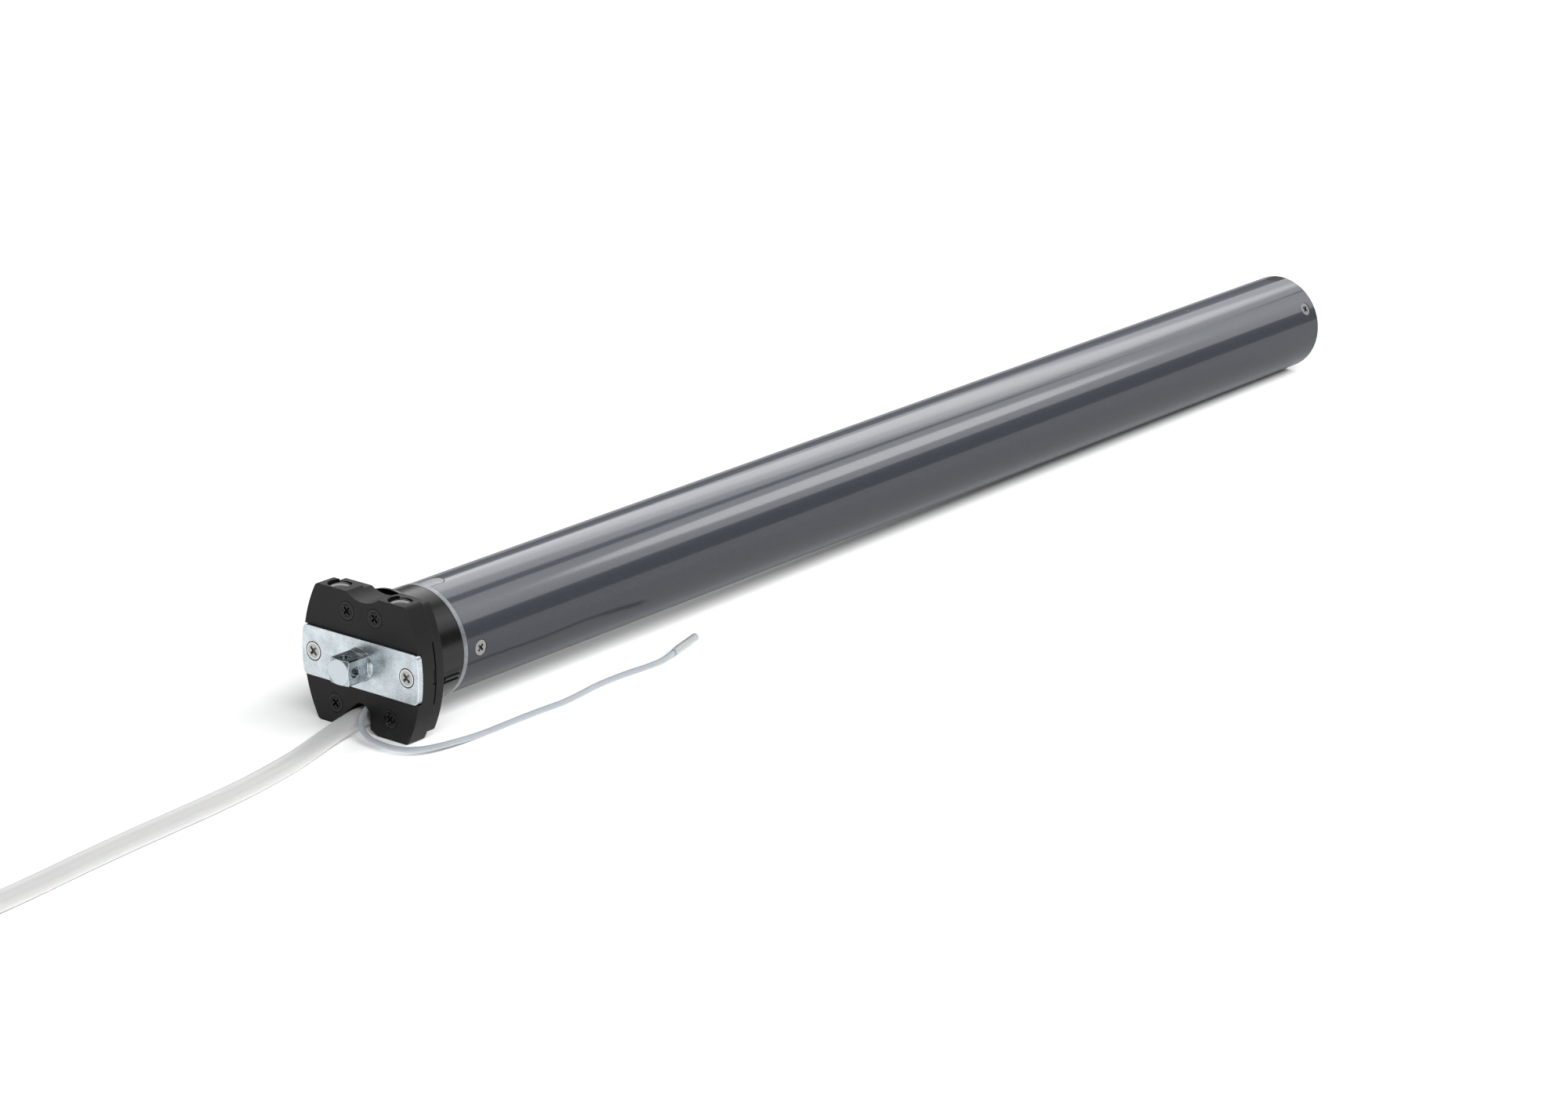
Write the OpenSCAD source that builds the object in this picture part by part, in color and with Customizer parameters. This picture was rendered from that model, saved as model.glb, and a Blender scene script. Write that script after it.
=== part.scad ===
/* [Head] */
// Half of the moulded head's greatest width
head_half_w = 30.3; // [29:0.1:34]
// Half of the height between the front block's flats
head_half_h = 27.5; // [26.5:0.1:30]
// Radius of the head's bowed sides
side_r = 56; // [45:1:80]
// Radius of the head's four corners
corner_r = 2; // [0.5:0.1:4]
// Depth of the front block along the motor
block_t = 9; // [8:0.1:12]
// Thickness of the rear flange
flange_t = 4; // [3:0.1:6]
// Height of the rear flange's top flat above the axis
flange_top = 26.7; // [26:0.1:27.5]
// Depth of the rear flange's bottom flat below the axis
flange_bottom = 24.6; // [24:0.1:26]
// Radius of the hollow across the top
scallop_r = 14; // [12:0.5:24]
// Depth of the hollow below the top flat
scallop_depth = 2.9; // [1:0.1:3.2]
// Sideways place of the hollow
scallop_y = -1.2; // [-4:0.1:0]
// Radius at the top of the cable notch
notch_r = 4.5; // [4.4:0.1:4.8]
// Height of the notch's round centre
notch_z = -20.6; // [-20.8:0.1:-20.4]
// Slope of the notch's long side, degrees from level
notch_slope = 38; // [34:1:44]
// Width of the slot at the seam on the head's side
side_slot_w = 0.8; // [0.5:0.1:1.2]
/* [Mounting plate] */
// Thickness of the zinc-plated plate
plate_t = 2.5; // [2:0.1:4]
// Height of the plate
plate_h = 20; // [18:0.1:22]
// How far the plate stands proud of the moulding
plate_proud = 1; // [0.5:0.1:1.5]
// Distance between the two plate screws
plate_screw_gap = 48.4; // [46:0.1:50]
// Side of the square pin
pin_side = 10; // [8:0.1:12]
// Length of the square pin in front of the plate
pin_len = 11.5; // [10:0.1:20]
// Radius of the two holes across the pin
pin_hole_r = 2.2; // [1.5:0.1:2.5]
// Distance from the pin's tip to its cross holes
pin_hole_from_tip = 3.7; // [3.2:0.1:5]
// Radius of the cone at the foot of the pin
pin_collar_r = 6.8; // [6.8:0.1:8]
// Length of that cone
pin_collar_t = 1.2; // [0.8:0.1:2.5]
// Radius of the round bar that the pin is milled from, left on its four corners
pin_bar_r = 6.7; // [6.2:0.1:7]
/* [Screws] */
// Head radius of the countersunk head and plate screws
screw_head_r = 3.8; // [3.4:0.1:4.2]
// Shank radius of the head and plate screws
screw_shank_r = 1.9; // [1.5:0.05:2]
// Length of the black head screws
head_screw_len = 12; // [10:0.5:12]
// Length of the plate screws
plate_screw_len = 11; // [8:0.5:12]
// Head radius of the tube screws
tube_screw_head_r = 3.1; // [2.6:0.1:3.4]
// Shank radius of the tube screws
tube_screw_shank_r = 1.5; // [1.2:0.05:1.6]
// Length of the tube screws
tube_screw_len = 7; // [5:0.1:8]
/* [Setting buttons] */
// Distance of each setting button from the middle plane
button_y = 15.6; // [15.4:0.1:16]
// Radius of each button's cap
button_r = 4.5; // [4:0.1:4.6]
// Radius of the round well about each button
well_r = 4.9; // [4.8:0.1:5.6]
// Depth of the well below the top flat
well_depth = 2.4; // [2.2:0.1:2.8]
// Radius of the button's stem
stem_r = 2.2; // [1.5:0.1:2.6]
// Travel of a button
button_travel = 0.8; // [0.4:0.1:1]
/* [Crown ring] */
// Radius of the crown ring's front lip
lip_r = 25.2; // [24.4:0.1:26]
// Thickness of that lip
lip_t = 1.2; // [0.8:0.1:2]
// Distance between the rear flange and the lip
lip_gap = 3.7; // [3:0.1:5]
// Radius of the crown ring's drum
drum_r = 22.8; // [22:0.1:23.2]
// Length of the crown ring from its front to its rear
crown_len = 19.1; // [17:0.1:22]
// Radius of the fixed hub that the crown ring turns on
hub_r = 17.8; // [17:0.1:18.5]
// Radius of the cavity through the hub
hub_bore_r = 13; // [11:0.1:14]
// Height of the drum's key ribs
rib_h = 0.6; // [0.4:0.1:1]
// Number of sensing magnets in the crown ring
magnet_count = 6; // [4:2:8]
/* [Tube] */
// Outside radius of the motor tube
tube_r = 22.5; // [22:0.1:25]
// Wall of the motor tube
tube_wall = 1; // [0.8:0.1:1.3]
// Length of the motor tube
tube_len = 607.6; // [600:0.1:640]
// Width of the metal end ring's edge
ring_t = 2.5; // [1.5:0.1:3]
// Width of the ring's tongue
tongue_w = 6.4; // [5:0.1:8]
// Length of the ring's tongue
tongue_len = 9.8; // [8:0.1:12]
// Length of the end ring's sleeve inside the tube
sleeve_in_tube = 20; // [14:0.5:24]
// Distance of the front tube screws from the tube's front edge
front_screw_in = 7.3; // [6:0.1:9]
// Distance of the rear tube screws from the tube's rear edge
rear_screw_in = 7.3; // [6:0.1:8]
// Width of the black key in the tube's rear edge
key_w = 6; // [4:0.1:8]
// Length of that key
key_len = 9; // [7:0.1:10]
/* [Electronics] */
// Length of the control board
board_len = 150; // [140:1:160]
// Width of the control board
board_w = 34; // [28:0.5:35]
// Thickness of the control board
board_t = 1.6; // [1:0.1:2]
// Radius of the run capacitor
capacitor_r = 15; // [12:0.5:17]
// Length of the run capacitor
capacitor_len = 62; // [50:1:66]
/* [Motor and brake] */
// Length of the laminated stator
stator_len = 80; // [60:1:90]
// Radius of the rotor
rotor_r = 11.8; // [10:0.1:12]
// Running gap between rotor and stator
air_gap = 0.4; // [0.3:0.05:0.6]
// Radius of the rotor's shaft
rotor_shaft_r = 3; // [2.5:0.1:3.4]
// Radius of the brake disc
brake_disc_r = 13; // [10:0.1:14]
// Travel of the brake's armature
brake_travel = 0.4; // [0.2:0.05:0.6]
/* [Gears] */
// Module of all gears
gear_m = 0.8; // [0.75:0.01:0.82]
// Teeth of each sun gear
sun_teeth = 12; // [12:3:12]
// Teeth of each planet gear
planet_teeth = 15; // [15:3:15]
// Face width of the first stage's gears
face_1 = 7; // [5:0.5:9]
// Face width of the second stage's gears
face_2 = 9; // [7:0.5:11]
// Face width of the third stage's gears
face_3 = 13; // [10:0.5:15]
// Thinning of every tooth at its pitch circle
tooth_thinning = 0.14; // [0.1:0.01:0.2]
// Radius of the planets' pins
planet_pin_r = 1.8; // [1.4:0.05:2]
/* [Output] */
// Radius of the output shaft in its bearing
output_r = 7; // [6:0.1:8]
// Width across the flats of the output shaft's end
output_flats = 10; // [8:0.1:11]
// Length of the output shaft outside the tube
output_len = 18; // [14:0.5:18]
// Depth of the groove for the output shaft's clip
clip_groove = 0.9; // [0.6:0.05:1]
/* [Cables] */
// Diameter of the power cable
cable_d = 7.6; // [7:0.1:7.8]
// Diameter of the antenna wire
wire_d = 2.3; // [1.8:0.1:2.4]
// Diameter of the antenna's end sleeve
sleeve_d = 3.4; // [3:0.1:4]
// Length of the antenna's end sleeve
sleeve_len = 22; // [18:1:26]
// Turns in the put-away coil of power cable
coil_turns = 5; // [4:1:6]
/* [Hidden] */
$fn = 96;

// Clearances and small values used throughout
fit_gap = 0.15;
run_gap = 0.08;
press_gap = 0.02;
end_gap = 0.3;
eps = 0.05;

// Places along the motor
block_x0 = plate_proud;
block_x1 = block_x0 + block_t;
flange_x1 = block_x1 + flange_t;
crown_x0 = flange_x1 + end_gap;
lip_x = flange_x1 + lip_gap;
crown_x1 = crown_x0 + crown_len;
ring_x0 = crown_x1 + end_gap;
tube_x0 = ring_x0 + ring_t;
tube_x1 = tube_x0 + tube_len;
tube_in_r = tube_r - tube_wall;
inner_r = tube_in_r - fit_gap;
floor_z = -head_half_h;

// Head: outline, cable notch, screws and latches
side_y = side_r - head_half_w;
notch_wall = 3.9;
notch_y = notch_r - notch_wall;
notch_chamfer_z = -25.5;
notch_chamfer_run = 1.9;
cut_over = 2;
thread_gap = 0.05;
head_screws_at = [[-7.2, 19.6], [7.2, 19.6], [-14.2, -19], [14.2, -19]];
rivet_r = 4;
rivet_head_r = 5.4;
rivet_head_t = 1;
rivet_space = 0.5;
pin_tip_in = 0.1;
pin_tip_bevel = 0.6;
pin_tip_r = pin_side / 2 - pin_tip_in;
pocket_x0 = 5.2;
pocket_half_w = 19;
pocket_half_h = 13;
cable_way_r = 10;
slot_in = 1.8;
flange_step_y = 19.8;
flange_step_z = 23;
side_slot_z0 = -12;
side_slot_z1 = 13;
latch_w = 2;
latch_z0 = -3.6;
latch_z1 = 2.6;
latch_in = 2.2;

// Setting buttons with their wells, nests and switches
button_x = 6.6;
well_z = head_half_h - well_depth;
cap_z = well_z + button_travel + fit_gap;
cap_sink = 0.1;
cap_top = head_half_h - cap_sink;
cap_dome_r = 10;
well_floor_t = 2.2;
nest_z1 = well_z - well_floor_t;
nest_h = 8.9;
nest_z0 = nest_z1 - nest_h;
nest_half_w = 4.6;
nest_x0 = 3.2;
nest_x1 = 12.2;
switch_board_t = 1.2;
switch_w = 6;
switch_h = 3.4;
plunger_r = 1.7;
plunger_h = 1;
collar_r = 3;
collar_t = 0.8;
stem_z = nest_z0 + switch_board_t + switch_h + plunger_h + button_travel + fit_gap;

// Crown ring and the hub that carries it
neck_r = 20;
crown_bore_r = hub_r + run_gap;
rib_w = 1;
rib_len = 8.4;
rib_end_gap = 1.4;
rib_angles = [-19.4, -25, 160.6, 155];
magnet_r = 1.5;
magnet_len = 4.5;
magnet_ring_r = (crown_bore_r + drum_r) / 2;
sensor_l = 22;
sensor_w = 16;
sensor_t = 1.2;
sensor_in = 1;
sensor_x = flange_x1 + sensor_in;
sensor_z = sqrt(pow(hub_bore_r, 2) - pow(sensor_w / 2 + fit_gap, 2)) - sensor_t;
chip = [4, 3, 1.5];

// Tube fixings
ring_proud = 0.2;
ring_groove_w = 0.3;
ring_groove_in = 0.4;
tongue_gap = 0.25;
ring_r_out = tube_r + ring_proud;
tube_screw_sink = 0.25;
front_screw_x = tube_x0 + front_screw_in;
rear_screw_x = tube_x1 - rear_screw_in;
front_screw_angles = [0, 180];
rear_screw_angles = [30, 150, 270];
stake_x = [378.3, 562];
stake_r = 1.1;
stake_depth = 0.5;
stake_ball_r = (pow(stake_r, 2) + pow(stake_depth, 2)) / (2 * stake_depth);
hub_x1 = tube_x0 + sleeve_in_tube;

// Gears
pressure_angle = 20;
ring_teeth = sun_teeth + 2 * planet_teeth;
sun_r = gear_m * sun_teeth / 2;
planet_r = gear_m * planet_teeth / 2;
ring_r = gear_m * ring_teeth / 2;
planet_orbit = sun_r + planet_r;
addendum = 0.87 * gear_m;
dedendum = 1.12 * gear_m;
ring_addendum = 0.62 * gear_m;
flank_steps = 3;
carrier_clear = 1.2;
carrier_r = ring_r - ring_addendum - carrier_clear;
carrier_plate_t = 4;
last_plate_t = 5;
side_gap = 0.5;

// Gear train, counted back from the tube's far end
cap_len = 29.8;
housing_end_t = 17;
housing_front_t = 15.5;
housing_x1 = tube_x1 - cap_len;
gear_cut_x1 = housing_x1 - housing_end_t;
carrier_3_x1 = gear_cut_x1 - side_gap;
carrier_3_x = carrier_3_x1 - last_plate_t;
stage_3_x = carrier_3_x - side_gap - face_3;
carrier_2_x = stage_3_x - side_gap - carrier_plate_t;
stage_2_x = carrier_2_x - side_gap - face_2;
carrier_1_x = stage_2_x - side_gap - carrier_plate_t;
stage_1_x = carrier_1_x - side_gap - face_1;
gear_cut_x0 = stage_1_x - side_gap;
housing_x0 = gear_cut_x0 - housing_front_t;

// Output shaft and its bushes
output_bush_wall = 3;
output_bush_r = output_r + output_bush_wall;
output_bush_len = 14;
output_x1 = tube_x1 + output_len;
neck_len = 2;
flats_x0 = tube_x1 + neck_len;
clip_from_end = 3;
clip_x = output_x1 - clip_from_end;
clip_t = 1;
clip_r = 7;
clip_in_r = output_flats / 2 - clip_groove;
clip_mouth = 0.6 * clip_in_r;

// Brake, motor and capacitor, counted back from the gearbox
shaft_hole_r = rotor_shaft_r + side_gap;
brake_gap = 0.05;
disc_t = 4;
armature_t = 4;
disc_x = housing_x0 - brake_gap - disc_t;
armature_x = disc_x - brake_gap - armature_t;
brake_x1 = armature_x - brake_travel - fit_gap;
brake_len = 30;
brake_x0 = brake_x1 - brake_len;
brake_r = 19;
spring_hole_r = 6.6;
spring_hole_depth = 16;
spring_r = 5.4;
spring_wire_r = 0.5;
spring_turns = 6;
spring_rings = 12;
coil_groove_r0 = 9.3;
coil_groove_r1 = 15;
coil_groove_depth = 20;
guide_r = 1.5;
guide_ring_r = (coil_groove_r1 + brake_r) / 2;
guide_count = 3;
winding_len = 8;
winding_gap = 2;
web_t = 4;
rim_t = 1.8;
bush_r = 6;
bush_hub_r = 9;
bush_len = 10;
shield_room = 12;
shield_len = shield_room + winding_gap + winding_len;
stator_x1 = brake_x0 - shield_len;
stator_x0 = stator_x1 - stator_len;
rear_shield_x = stator_x0 - shield_len;
vent_r = 2.5;
vent_ring_r = 14;
vent_count = 6;
stator_bore_r = rotor_r + air_gap;
slot_count = 12;
slot_w = 3.4;
slot_mouth_w = 1.4;
tooth_tip_t = 1.6;
slot_r0 = stator_bore_r + tooth_tip_t;
slot_r1 = 18.2;
end_ring_len = 3.5;
end_ring_r0 = 6;
end_ring_in = 0.6;
end_ring_r1 = rotor_r - end_ring_in;
shaft_x0 = rear_shield_x + end_gap;
holder_wall = 4;
holder_cut_w = 12;
holder_cut_in = 8;
tab = [1, 6, 8];
tab_y = 6;

// Control board, run capacitor and the room that they leave between the head's hub and the motor
carrier_end = 14;
carrier_wall = 1.6;
carrier_top = 2;
carrier_end_t = 2;
board_and_capacitor = 2 * carrier_end + board_len + holder_wall + capacitor_len + tab[2];
spare_len = rear_shield_x - hub_x1 - board_and_capacitor;
spare_before_board = 0.15;
spare_behind_capacitor = 0.2;
board_x0 = hub_x1 + carrier_end + spare_before_board * spare_len;
capacitor_x = rear_shield_x - tab[2] - capacitor_len - spare_behind_capacitor * spare_len;
board_z = -4;
board_top = board_z + board_t;
rail_h = 2;
rail_w = 3;

// What stands on the control board, with its place as a share of the board's length
relay = [19, 15, 15];
relay_at = 0.2;
relay_x = board_x0 + relay_at * board_len;
supply = [34, 20, 16];
supply_at = 0.41;
supply_x = board_x0 + supply_at * board_len;
radio = [26, 1.2, 14];
radio_at = 0.71;
radio_x = board_x0 + radio_at * board_len;
terminal = [10, 20, 11];
terminal_at = 0.04;
terminal_x = board_x0 + terminal_at * board_len;
wire_hole_r = 1.4;
wire_hole_gap = 4.6;

// Power cable: its route to where the put-away coil starts
cable_r = cable_d / 2;
entry_in = 2;
entry_x0 = block_x1 - entry_in;
entry_x1 = flange_x1 - end_gap;
cable_sides = 10;
cable_z = floor_z + cable_r;
tie_t = 0.9;
tie_gap = 0.2;
coil_z = cable_z + tie_t + tie_gap;
cable_points = [[8, 2.2, -22.4], [0, 2.2, -22.4], [-7, 1.3, -22.9], [-14, 0.2, -23.4], [-22, -1.8, cable_z],
    [-31, -4.6, cable_z], [-43, -8.1, cable_z], [-58, -11.3, cable_z], [-74, -14, cable_z],
    [-93, -16.2, cable_z], [-115, -17.8, cable_z], [-140, -19.6, cable_z], [-165, -21.9, cable_z],
    [-190, -24.6, cable_z], [-208, -26.3, cable_z + 0.3], [-224, -27.2, coil_z], [-240, -27.2, coil_z]];

// Put-away coil: spirals in on the floor, climbs, and spirals out on top
coil_x = -240;
coil_y = -27.2;
turn_gap = 0.5;
coil_pitch = cable_d + turn_gap;
coil_rings = 24;
coil_sides = 6;
coil_half_turns = coil_turns / 2;
coil_diameters = 11;
coil_inner = (coil_diameters * cable_d - coil_half_turns * coil_pitch) / 2;
coil_outer = coil_inner + coil_half_turns * coil_pitch;
coil_centre = [coil_x - cable_d, coil_y + coil_outer];
tie_w = 6;
core_r = 0.9;
core_len = 25;
core_ring_r = 1.7;
core_count = 3;

// Antenna wire: out of the notch, round the head's corner and along the floor
wire_r = wire_d / 2;
wire_sides = 8;
wire_z = floor_z + wire_r;
sleeve_r = sleeve_d / 2;
sleeve_z = floor_z + sleeve_r;
sleeve_at = [141.9, -36.1, sleeve_z];
sleeve_turn = 15;
wire_points = [[8, -0.6, -17.7], [4, -0.6, -17.7], [1, -1.6, -18.2], [-1, -2.5, -18.9], [-4, -4.1, -20.3],
    [-6, -6, -21.8], [-7.4, -8.6, -23.4], [-8.3, -12, -24.5], [-9, -17, -25], [-9.4, -22, -25],
    [-8.8, -27, -25], [-6.6, -31.4, -25], [-2.6, -34.8, -25], [3, -37, -25], [10, -38, -25.3],
    [18, -38.2, -25.9], [27, -38.2, wire_z], [37.5, -38.3, wire_z], [48, -38.2, wire_z], [60, -38.5, wire_z],
    [73, -39, wire_z], [84, -38, wire_z], [94.5, -36.7, wire_z], [104, -36.4, wire_z], [114, -36.8, wire_z],
    [125, -37.7, wire_z], [134, -37.8, wire_z + 0.2], [138.5, -37, sleeve_z], sleeve_at];

// Unit vector along v
function unit(v) = v / norm(v);

// Involute function of an angle in degrees, in degrees
function involute(a) = tan(a) * 180 / PI - a;

// Half the angle that a tooth takes at radius r; z teeth, thinned by thin at the pitch circle
function half_tooth(z, thin, r) =
    let (pitch_r = gear_m * z / 2, base_r = pitch_r * cos(pressure_angle))
    90 / z - thin / pitch_r * 90 / PI + involute(pressure_angle) - involute(acos(min(1, base_r / r)));

// Radii of one tooth flank from root to tip
function flank_radii(z, root, tip) =
    let (base_r = gear_m * z / 2 * cos(pressure_angle), start = max(root, base_r))
    concat(root < base_r ? [root] : [], [for (i = [0 : flank_steps]) start + (tip - start) * i / flank_steps]);

// Outline of a gear whose first tooth points along +x
function gear_outline(z, thin, root, tip) =
    let (radii = flank_radii(z, root, tip), last = len(radii) - 1)
    [for (tooth = [0 : z - 1], side = [-1, 1], i = [0 : last])
        let (r = side < 0 ? radii[i] : radii[last - i], a = 360 * tooth / z + side * half_tooth(z, thin, r))
        [r * cos(a), r * sin(a)]];

// Direction of a route at its point i
function heading(path, i) = unit(path[min(i + 1, len(path) - 1)] - path[max(i - 1, 0)]);

// Ring of points round point i of a level route
function ring_points(path, i, r, sides) =
    let (t = heading(path, i), side = unit(cross([0, 0, 1], t)), up = cross(t, side))
    [for (j = [0 : sides - 1]) path[i] + r * cos(360 * j / sides) * side + r * sin(360 * j / sides) * up];

// Triangles of a tube with closed ends
function tube_faces(count, sides) = concat(
    [for (j = [1 : sides - 2]) [0, j, j + 1]],
    [for (i = [0 : count - 2], j = [0 : sides - 1], half = [0, 1])
        let (k = (j + 1) % sides, a = i * sides, b = a + sides)
        half == 0 ? [a + j, b + j, b + k] : [a + j, b + k, a + k]],
    [for (j = [1 : sides - 2]) [(count - 1) * sides, (count - 1) * sides + j + 1, (count - 1) * sides + j]]);

// Radius and height of the coil after t turns
function coil_radius(t) = coil_inner + coil_pitch * abs(t - coil_half_turns);
function coil_climb(t) = min(1, max(0, 0.5 + 2 * (t - coil_half_turns)));
function coil_height(t) = coil_z + coil_pitch * (1 - cos(180 * coil_climb(t))) / 2;
function coil_point(t) = [coil_centre[0] - coil_radius(t) * sin(360 * t),
    coil_centre[1] - coil_radius(t) * cos(360 * t), coil_height(t)];
coil_last = coil_point(coil_turns);
coil_points = concat([[coil_x, coil_y, coil_z]],
    [for (i = [0 : coil_rings * coil_turns]) coil_point(i / coil_rings)],
    [coil_last - [cable_d, 0, 0]]);

// Least distance between the skins of two parts of the coil that are over half a turn apart
coil_gap = min([for (i = [0 : len(coil_points) - 1], j = [i + coil_rings / 2 : 1 : len(coil_points) - 1])
    norm(coil_points[i] - coil_points[j]) - cable_d]);
echo(coil_gap = coil_gap);

// Length of a route from its point i on
function route_length(path, i = 1) = i < len(path) ? norm(path[i] - path[i - 1]) + route_length(path, i + 1) : 0;
echo(cable_length = route_length(cable_points) + route_length(coil_points));
echo(wire_length = route_length(wire_points) + sleeve_len);

// Stands a drawing of the Y-Z plane at x, to be drawn out along +X
module along_x(x) {
    translate([x, 0, 0])
        rotate([90, 0, 90])
            children();
}

// Round bar and pipe on the motor's axis
module rod(x, length, r) {
    along_x(x)
        cylinder(r = r, h = length);
}
module pipe(x, length, r, bore) {
    difference() {
        rod(x, length, r);
        rod(x - eps, length + 2 * eps, bore);
    }
}

// Turned piece: its profile gives radius and place along the axis
module turned(x, profile) {
    along_x(x)
        rotate_extrude()
            polygon(profile);
}

// Copies round the axis; angle 0 is the -Y side and 90 the top
module round_axis(angles) {
    for (a = angles)
        rotate([90 - a, 0, 0])
            children();
}

// Angles of so many pieces spread evenly
function spread(count) = [for (i = [0 : count - 1]) 90 + 360 * i / count];

// Box from corner to corner
module box(low, high) {
    translate(low)
        cube(high - low);
}

// Countersunk screw with a cross recess, its head's flat at z = 0
module screw(head_r, shank_r, length) {
    recess_l = 1.1 * head_r;
    recess_w = 0.3 * head_r;
    recess_depth = 0.35 * head_r;
    cone = head_r - shank_r;
    difference() {
        union() {
            translate([0, 0, -cone])
                cylinder(r1 = shank_r, r2 = head_r, h = cone);
            translate([0, 0, -length])
                cylinder(r = shank_r, h = length - cone);
        }
        for (turn = [45, 135])
            rotate([0, 0, turn])
                box([-recess_l / 2, -recess_w / 2, -recess_depth], [recess_l / 2, recess_w / 2, eps]);
    }
}

// Space for such a screw: gap round its shank, and room above its head
module screw_space(head_r, shank_r, length, gap, above) {
    cone = head_r - shank_r;
    translate([0, 0, -cone])
        cylinder(r1 = shank_r + fit_gap, r2 = head_r + fit_gap, h = cone);
    cylinder(r = head_r + fit_gap, h = above);
    translate([0, 0, -length - fit_gap])
        cylinder(r = shank_r + gap, h = length - cone / 2);
}

// Faces a screw drawn along Z to the front, at a place in the Y-Z plane
module facing_front(x, place) {
    translate([x, place[0], place[1]])
        rotate([0, -90, 0])
            children();
}

// Centre of the corner rounding under a flat at height h
function corner_at(h) = [sqrt(pow(side_r - corner_r, 2) - pow(h - corner_r, 2)) - side_y, h - corner_r];

// What the rounding takes off one corner
module corner_cut(h) {
    c = corner_at(h);
    reach = cut_over * corner_r;
    difference() {
        polygon([c, c + [0, reach], c + [reach, reach], c + reach * unit(c + [side_y, 0])]);
        translate(c)
            circle(r = corner_r);
    }
}

// Outline with bowed sides, between two flats
module barrel_2d(top, bottom) {
    difference() {
        intersection() {
            translate([-side_y, 0])
                circle(r = side_r);
            translate([side_y, 0])
                circle(r = side_r);
            translate([-side_r, -bottom])
                square([2 * side_r, top + bottom]);
        }
        for (flip = [0, 1])
            mirror([flip, 0]) {
                corner_cut(top);
                mirror([0, 1])
                    corner_cut(bottom);
            }
    }
}

// Hollow across the head's top
module scallop_2d() {
    translate([scallop_y, head_half_h - scallop_depth + scallop_r])
        circle(r = scallop_r);
}

// Cable notch in the head's bottom, made smaller all round by inset
module notch_2d(inset) {
    r = notch_r - inset;
    wall = notch_y - r;
    touch = [notch_y + r * sin(notch_slope), notch_z + r * cos(notch_slope)];
    drop = touch[1] - floor_z + cut_over;
    chamfer = notch_chamfer_z - floor_z + cut_over;
    translate([notch_y, notch_z])
        circle(r = r);
    polygon([touch, touch + [drop / tan(notch_slope), -drop],
        [wall - chamfer * notch_chamfer_run, floor_z - cut_over], [wall, notch_chamfer_z], [wall, notch_z],
        [notch_y, notch_z]]);
}

// Cuts that go through both halves of the head
module button_spaces() {
    for (side = [-1, 1]) {
        translate([button_x, side * button_y, well_z])
            cylinder(r = well_r, h = cut_over * well_depth);
        translate([button_x, side * button_y, nest_z1 - eps])
            cylinder(r = stem_r + run_gap, h = well_floor_t + 2 * eps);
        box([nest_x0, side * button_y - nest_half_w, nest_z0], [nest_x1, side * button_y + nest_half_w, nest_z1]);
    }
}
module head_screw_spaces() {
    for (place = head_screws_at)
        facing_front(block_x0, place)
            screw_space(screw_head_r, screw_shank_r, head_screw_len, thread_gap, cut_over);
    for (side = [-1, 1])
        facing_front(0, [side * plate_screw_gap / 2, 0])
            screw_space(screw_head_r, screw_shank_r, plate_screw_len, thread_gap, cut_over);
}

// Front half of the moulded head
module head_front() {
    color("#202022")
        difference() {
            along_x(block_x0)
                linear_extrude(block_t)
                    difference() {
                        barrel_2d(head_half_h, head_half_h);
                        scallop_2d();
                        notch_2d(0);
                    }
            box([block_x0 - eps, -side_r, -plate_h / 2 - fit_gap], [plate_t, side_r, plate_h / 2 + fit_gap]);
            rod(plate_t - eps, rivet_head_t + rivet_space, rivet_head_r + rivet_space);
            box([pocket_x0, -pocket_half_w, -pocket_half_h], [block_x1 + eps, pocket_half_w, pocket_half_h]);
            button_spaces();
            head_screw_spaces();
            for (flip = [0, 1])
                mirror([0, flip, 0]) {
                    box([block_x1 - side_slot_w, head_half_w - slot_in, side_slot_z0],
                        [block_x1 + eps, head_half_w + cut_over, side_slot_z1]);
                    box([block_x1 - latch_w, head_half_w - latch_in, latch_z0],
                        [block_x1 + eps, head_half_w + cut_over, latch_z1]);
                }
        }
}

// Rear half of the head with the hub for the crown ring and the motor tube
module head_body() {
    color("#26262a")
        difference() {
            union() {
                along_x(block_x1)
                    linear_extrude(flange_t)
                        difference() {
                            barrel_2d(flange_top, flange_bottom);
                            scallop_2d();
                            notch_2d(0);
                        }
                rod(flange_x1 - eps, hub_x1 - flange_x1 + eps, hub_r);
                for (flip = [0, 1])
                    mirror([0, flip, 0])
                        box([block_x1 - latch_w + end_gap, head_half_w - latch_in + end_gap, latch_z0 + end_gap],
                            [block_x1 + eps, head_half_w - 2 * end_gap, latch_z1 - end_gap]);
            }
            box([block_x1 - eps, flange_step_y, flange_step_z], [flange_x1 + eps, side_r, side_r]);
            rod(block_x1 - eps, flange_t + 2 * eps, cable_way_r);
            rod(flange_x1, hub_x1 - flange_x1 + eps, hub_bore_r);
            button_spaces();
            head_screw_spaces();
            tube_screw_spaces(front_screw_x, front_screw_angles);
        }
}

module mounting_plate() {
    color("#c9ccd1")
        difference() {
            along_x(0)
                linear_extrude(plate_t)
                    barrel_2d(plate_h / 2, plate_h / 2);
            rod(-eps, plate_t + 2 * eps, rivet_r + press_gap);
            head_screw_spaces();
        }
}

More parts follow.
